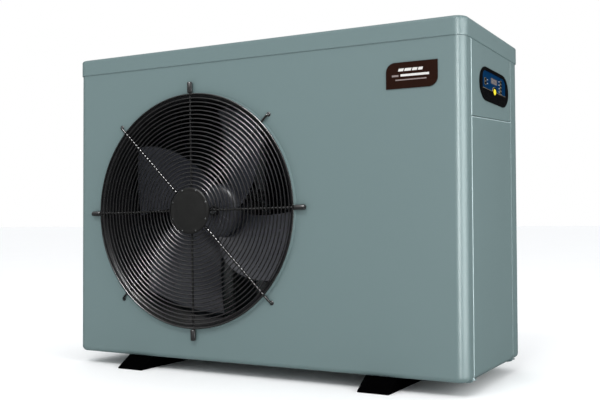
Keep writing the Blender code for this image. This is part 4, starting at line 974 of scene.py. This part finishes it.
def make_nuts():
    """Union nuts with grip ribs."""
    ribs, steps = 16, 8
    for word, (x, z) in zip(("inlet", "outlet"), UNIONS):
        low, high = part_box(f"{word}_union_nut")
        shape = bmesh.new()
        rows = []
        for y, inset in ((low.y, 0.0012), (low.y + 0.0012, 0.0), (high.y - 0.0035, 0.0),
                         (high.y - 0.0008, 0.0018), (high.y, 0.0030)):
            row = []
            for n, angle in enumerate(circle(ribs * steps)):
                wave = (n % steps) / steps
                groove = 0.0022 * max(0.0, math.sin(2 * math.pi * wave)) ** 0.5 if wave < 0.5 else 0.0
                radius = 0.0362 - groove - inset
                row.append(shape.verts.new((x + radius * math.cos(angle), y, z + radius * math.sin(angle))))
            rows.append(row)
        inner = [ring(shape, (x, z), 0.0262, y, ribs * steps) for y in (high.y, low.y)]
        bridge(shape, rows + inner + rows[:1])
        piece(f"{word}_nut_moulding", shape, SHELL, nodes=(f"{word}_union_nut",), sharp=35)


def make_gland():
    """Cable gland: nut outside, ribbed cap, and lock nut inside the casing."""
    low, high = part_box("cable_gland")
    x, z = (low.x + high.x) / 2, (low.z + high.z) / 2
    shape, steps = bmesh.new(), 10
    hexagon(shape, (x, z), 0.0139, BACK + 0.0003, BACK + 0.0070, 0.0060)
    profile = [(0.0062, BACK + 0.007), (0.0122, BACK + 0.007), (0.0125, BACK + 0.009),
               (0.0125, BACK + 0.0175), (0.0118, BACK + 0.0200), (0.0100, BACK + 0.0225),
               (0.0085, high.y), (0.0055, high.y), (0.0050, BACK + 0.0225), (0.0050, low.y),
               (0.0098, low.y), (0.0098, BACK + 0.0003), (0.0062, BACK + 0.0003)]
    lathe(shape, profile, (x, 0, z), 48, closed=True)
    for angle in circle(steps):
        a, b = x + 0.0122 * math.cos(angle), z + 0.0122 * math.sin(angle)
        rounded_bar(shape, (a, BACK + 0.0080, b), (a, BACK + 0.0185, b), 0.0010)
    hexagon(shape, (x, z), 0.0133, BACK - SHEET - 0.0053, BACK - SHEET - 0.0003, 0.0100)
    piece("gland_moulding", shape, SHELL, nodes=("cable_gland",), sharp=35)


def hexagon(shape, middle, radius, low, high, bore, steps=48):
    """A hexagon nut with chamfered corners."""
    x, z = middle
    rows = []
    for y, limit in ((low, 0.93), (low + 0.0006, 1.0), (high - 0.0006, 1.0), (high, 0.93)):
        row = []
        for angle in circle(steps):
            flat = math.cos(math.pi / 6) / math.cos((angle + math.pi / 6) % (math.pi / 3) - math.pi / 6)
            size = radius * min(flat, limit)
            row.append(shape.verts.new((x + size * math.cos(angle), y, z + size * math.sin(angle))))
        rows.append(row)
    rows += [ring(shape, middle, bore, y, steps) for y in (high, low)]
    bridge(shape, rows + rows[:1])


def make_rear_guard():
    low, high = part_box("rear_coil_guard")
    shape = bmesh.new()
    pitch, edge, wire = 0.0142, 0.0016, 0.0011 * 0.9
    y = (low.y + high.y) / 2
    columns, rows = round((high.x - low.x) / pitch), round((high.z - low.z) / (pitch * 2))
    left, right, bottom, top = low.x + edge, high.x - edge, low.z + edge, high.z - edge
    rim = [(left, y, bottom), (right, y, bottom), (right, y, top), (left, y, top)]
    for start, end in zip(rim, rim[1:] + rim[:1]):
        tube(shape, [start, end], 0.0015)
    for n in range(1, columns):
        x = low.x + (high.x - low.x) * n / columns
        tube(shape, [(x, y - 0.0004, bottom), (x, y - 0.0004, top)], wire, 8)
    for n in range(1, rows):
        z = low.z + (high.z - low.z) * n / rows
        tube(shape, [(left, y + 0.0004, z), (right, y + 0.0004, z)], wire, 8)
    piece("rear_wire_mesh", shape, WIRE, nodes=("rear_coil_guard",), sharp=60)


def screw(shape, place, out, radius=0.0042, steps=24):
    """A pan head with a cross recess."""
    turn = Vector(out).to_track_quat("Z", "Y").to_matrix().to_4x4()
    lift = Matrix.Translation(Vector(place)) @ turn

    def row(sizes, height):
        flat = [Vector((radius * size * math.cos(t), radius * size * math.sin(t), height))
                for size, t in zip(sizes, circle(steps))]
        return [shape.verts.new(lift @ spot) for spot in flat]

    head = ((1.0, 0.0), (1.0, 0.0006), (0.93, 0.0011), (0.75, 0.0015), (0.52, 0.0017))
    arms = {0: 0.50, 1: 0.34, 5: 0.34}
    cross = [arms.get(n % 6, 0.14) for n in range(steps)]
    rows = [row([size] * steps, height) for size, height in head]
    rows += [row(cross, 0.0017), row([0.7 * arm for arm in cross], 0.0007)]
    bridge(shape, rows)
    shape.faces.new(rows[-1])


def make_screws():
    shape = bmesh.new()
    for z in (BASE + 0.030, BASE + 0.190, BASE + 0.350, BASE + 0.560):
        screw(shape, (REAR_SPLIT[1] + 0.012, BACK, z), (0, 1, 0))
        screw(shape, (REAR_SPLIT[0] - 0.008, BACK, z), (0, 1, 0))
    for x in (-0.36, -0.12, 0.12, 0.36):
        screw(shape, (x, LID_Y, (LID_LOW + TOP) / 2 - 0.002), (0, 1, 0))
    for z in (BASE + 0.025, BASE + 0.300, BASE + 0.570):
        screw(shape, (-SIDE, SEAM_FRONT + 0.014, z), (-1, 0, 0))
    for x in (0.22, 0.40):
        screw(shape, (x, BACK, BASE + 0.025), (0, 1, 0))
    piece("panel_screws", shape, STEEL, sharp=35)


# ---- pieces that keep their CAD shape --------------------------------------------
def dress_nodes():
    by_slot = {
        "galvanised_steel": ZINC, "black_coated_steel": WIRE, "black_plastic": SHELL, "aluminium": METAL,
        "copper": COPPER, "brass": BRASS, "black_rubber": RUBBER, "grey_pvc": PVC, "board_green": BOARD,
        "casing_paint": PAN_PAINT, "gloss_black": GLOSS, "plate_brown": BROWN, "fascia_blue": BLUE,
        "window_grey": WINDOW, "button_yellow": YELLOW,
    }
    slots = {part["node"]: part["material_slot"] for part in frame["record"]["subparts"]}
    for name, node in frame["nodes"].items():
        surface = {"evaporator_coil": FINS, "fan_nut": SHELL}.get(name, by_slot[slots[name]])
        node.data.materials.clear()
        node.data.materials.append(surface)


# ---- studio ----------------------------------------------------------------------
GLINT_PIECES = ("wire_guard", "guard_sleeves", "hub_cap", "hub_rivets", "fan_moulding", "bell_mouth")
KEY_PLACE, KEY_TARGET = (0.20, -2.25, 2.85), (-0.12, -0.18, 0.32)
EYE_HEIGHT = 0.38


def area_light(name, place, target, size, power):
    data = bpy.data.lights.new(name, "AREA")
    data.shape = "RECTANGLE"
    data.size, data.size_y = size
    data.energy = power
    made = placed(name, data)
    made.location = place
    made.rotation_euler = (Vector(target) - Vector(place)).to_track_quat("-Z", "Y").to_euler()
    return made


def make_world():
    """White behind the object, bright to diffuse rays, and dim to glossy rays but brighter overhead."""
    world = bpy.data.worlds.new("studio")
    world.use_nodes = True
    tree = world.node_tree
    shown, lit = tree.nodes["Background"], tree.nodes.new("ShaderNodeBackground")
    shown.inputs["Color"].default_value = (1.0, 1.0, 1.0, 1.0)
    shown.inputs["Strength"].default_value = 1.0
    lit.inputs["Color"].default_value = (0.97, 0.985, 1.0, 1.0)
    split = tree.nodes.new("ShaderNodeSeparateXYZ")
    tree.links.new(tree.nodes.new("ShaderNodeTexCoord").outputs["Generated"], split.inputs["Vector"])
    rays, level = tree.nodes.new("ShaderNodeLightPath"), tree.nodes.new("ShaderNodeMix")
    sky = ranged(tree, split.outputs["Z"], 0.15, 0.60, 0.05, 0.45)
    for name, value in (("Factor", rays.outputs["Is Glossy Ray"]), ("A", 1.08), ("B", sky)):
        feed(tree, value, level.inputs[name])
    tree.links.new(level.outputs["Result"], lit.inputs["Strength"])
    blend = tree.nodes.new("ShaderNodeMixShader")
    for n, value in enumerate((rays.outputs["Is Camera Ray"], lit.outputs[0], shown.outputs[0])):
        tree.links.new(value, blend.inputs[n])
    tree.links.new(blend.outputs[0], tree.nodes["World Output"].inputs["Surface"])
    bpy.context.scene.world = world


def make_floor():
    shape = bmesh.new()
    bmesh.ops.create_grid(shape, x_segments=1, y_segments=1, size=60)
    floor = meshed("floor", shape)
    floor.data.materials.append(PALE)
    floor.visible_glossy = False


def make_lights():
    """Key and fill for everything, a glint for the black fan pieces, and corner lights for painted skins."""
    area_light("top_key", KEY_PLACE, KEY_TARGET, (1.3, 0.9), 36)
    fill = area_light("side_fill", (3.4, -1.0, 1.3), (0.43, -0.1, 0.3), (1.2, 2.0), 40)
    fill.visible_glossy = False
    glint = area_light("wire_glint", KEY_PLACE, KEY_TARGET, (1.0, 0.7), 170)
    glint.visible_diffuse = False
    painted, black = bpy.data.collections.new("painted"), bpy.data.collections.new("black")
    for made in bpy.data.objects:
        if made.type == "MESH" and made.name.endswith("_skin"):
            painted.objects.link(made)
        elif made.type == "MESH" and made.name in GLINT_PIECES:
            black.objects.link(made)
    glint.light_linking.receiver_collection = black
    strips = (("corner_strip", 29, 0.30, 25), ("corner_panel", 78, 0.8, 33), ("side_panel", 112, 0.25, 5))
    for name, turn, width, power in strips:
        angle = math.radians(turn)
        place = (SIDE + math.sin(angle), FRONT - math.cos(angle), EYE_HEIGHT)
        made = area_light(name, place, (SIDE, FRONT, EYE_HEIGHT), (width, 1.1), power)
        made.visible_diffuse = made.visible_camera = False
        made.light_linking.receiver_collection = painted


def make_camera():
    data = bpy.data.cameras.new("camera")
    data.sensor_width = 36.0
    data.lens = 51.62
    made = placed("camera", data)
    made.location = (0.8800, -1.5770, 0.2966)
    heading, tilt, roll = math.radians(28.742), math.radians(90 + 1.518), math.radians(-0.2426)
    turn = Matrix.Rotation(heading, 4, "Z") @ Matrix.Rotation(tilt, 4, "X") @ Matrix.Rotation(roll, 4, "Z")
    made.rotation_euler = turn.to_euler()
    bpy.context.scene.camera = made


make_camera()
dress_nodes()
make_front()
make_side()
make_rear()
make_left()
make_lid()
make_bezel()
make_fascia()
make_keys()
make_guard()
make_fan()
make_nameplate()
make_rails()
make_inlet()
make_outlet()
make_nuts()
make_gland()
make_rear_guard()
make_screws()
bpy.context.scene.view_settings.view_transform = "Standard"
make_world()
make_floor()
make_lights()
bpy.context.view_layer.update()
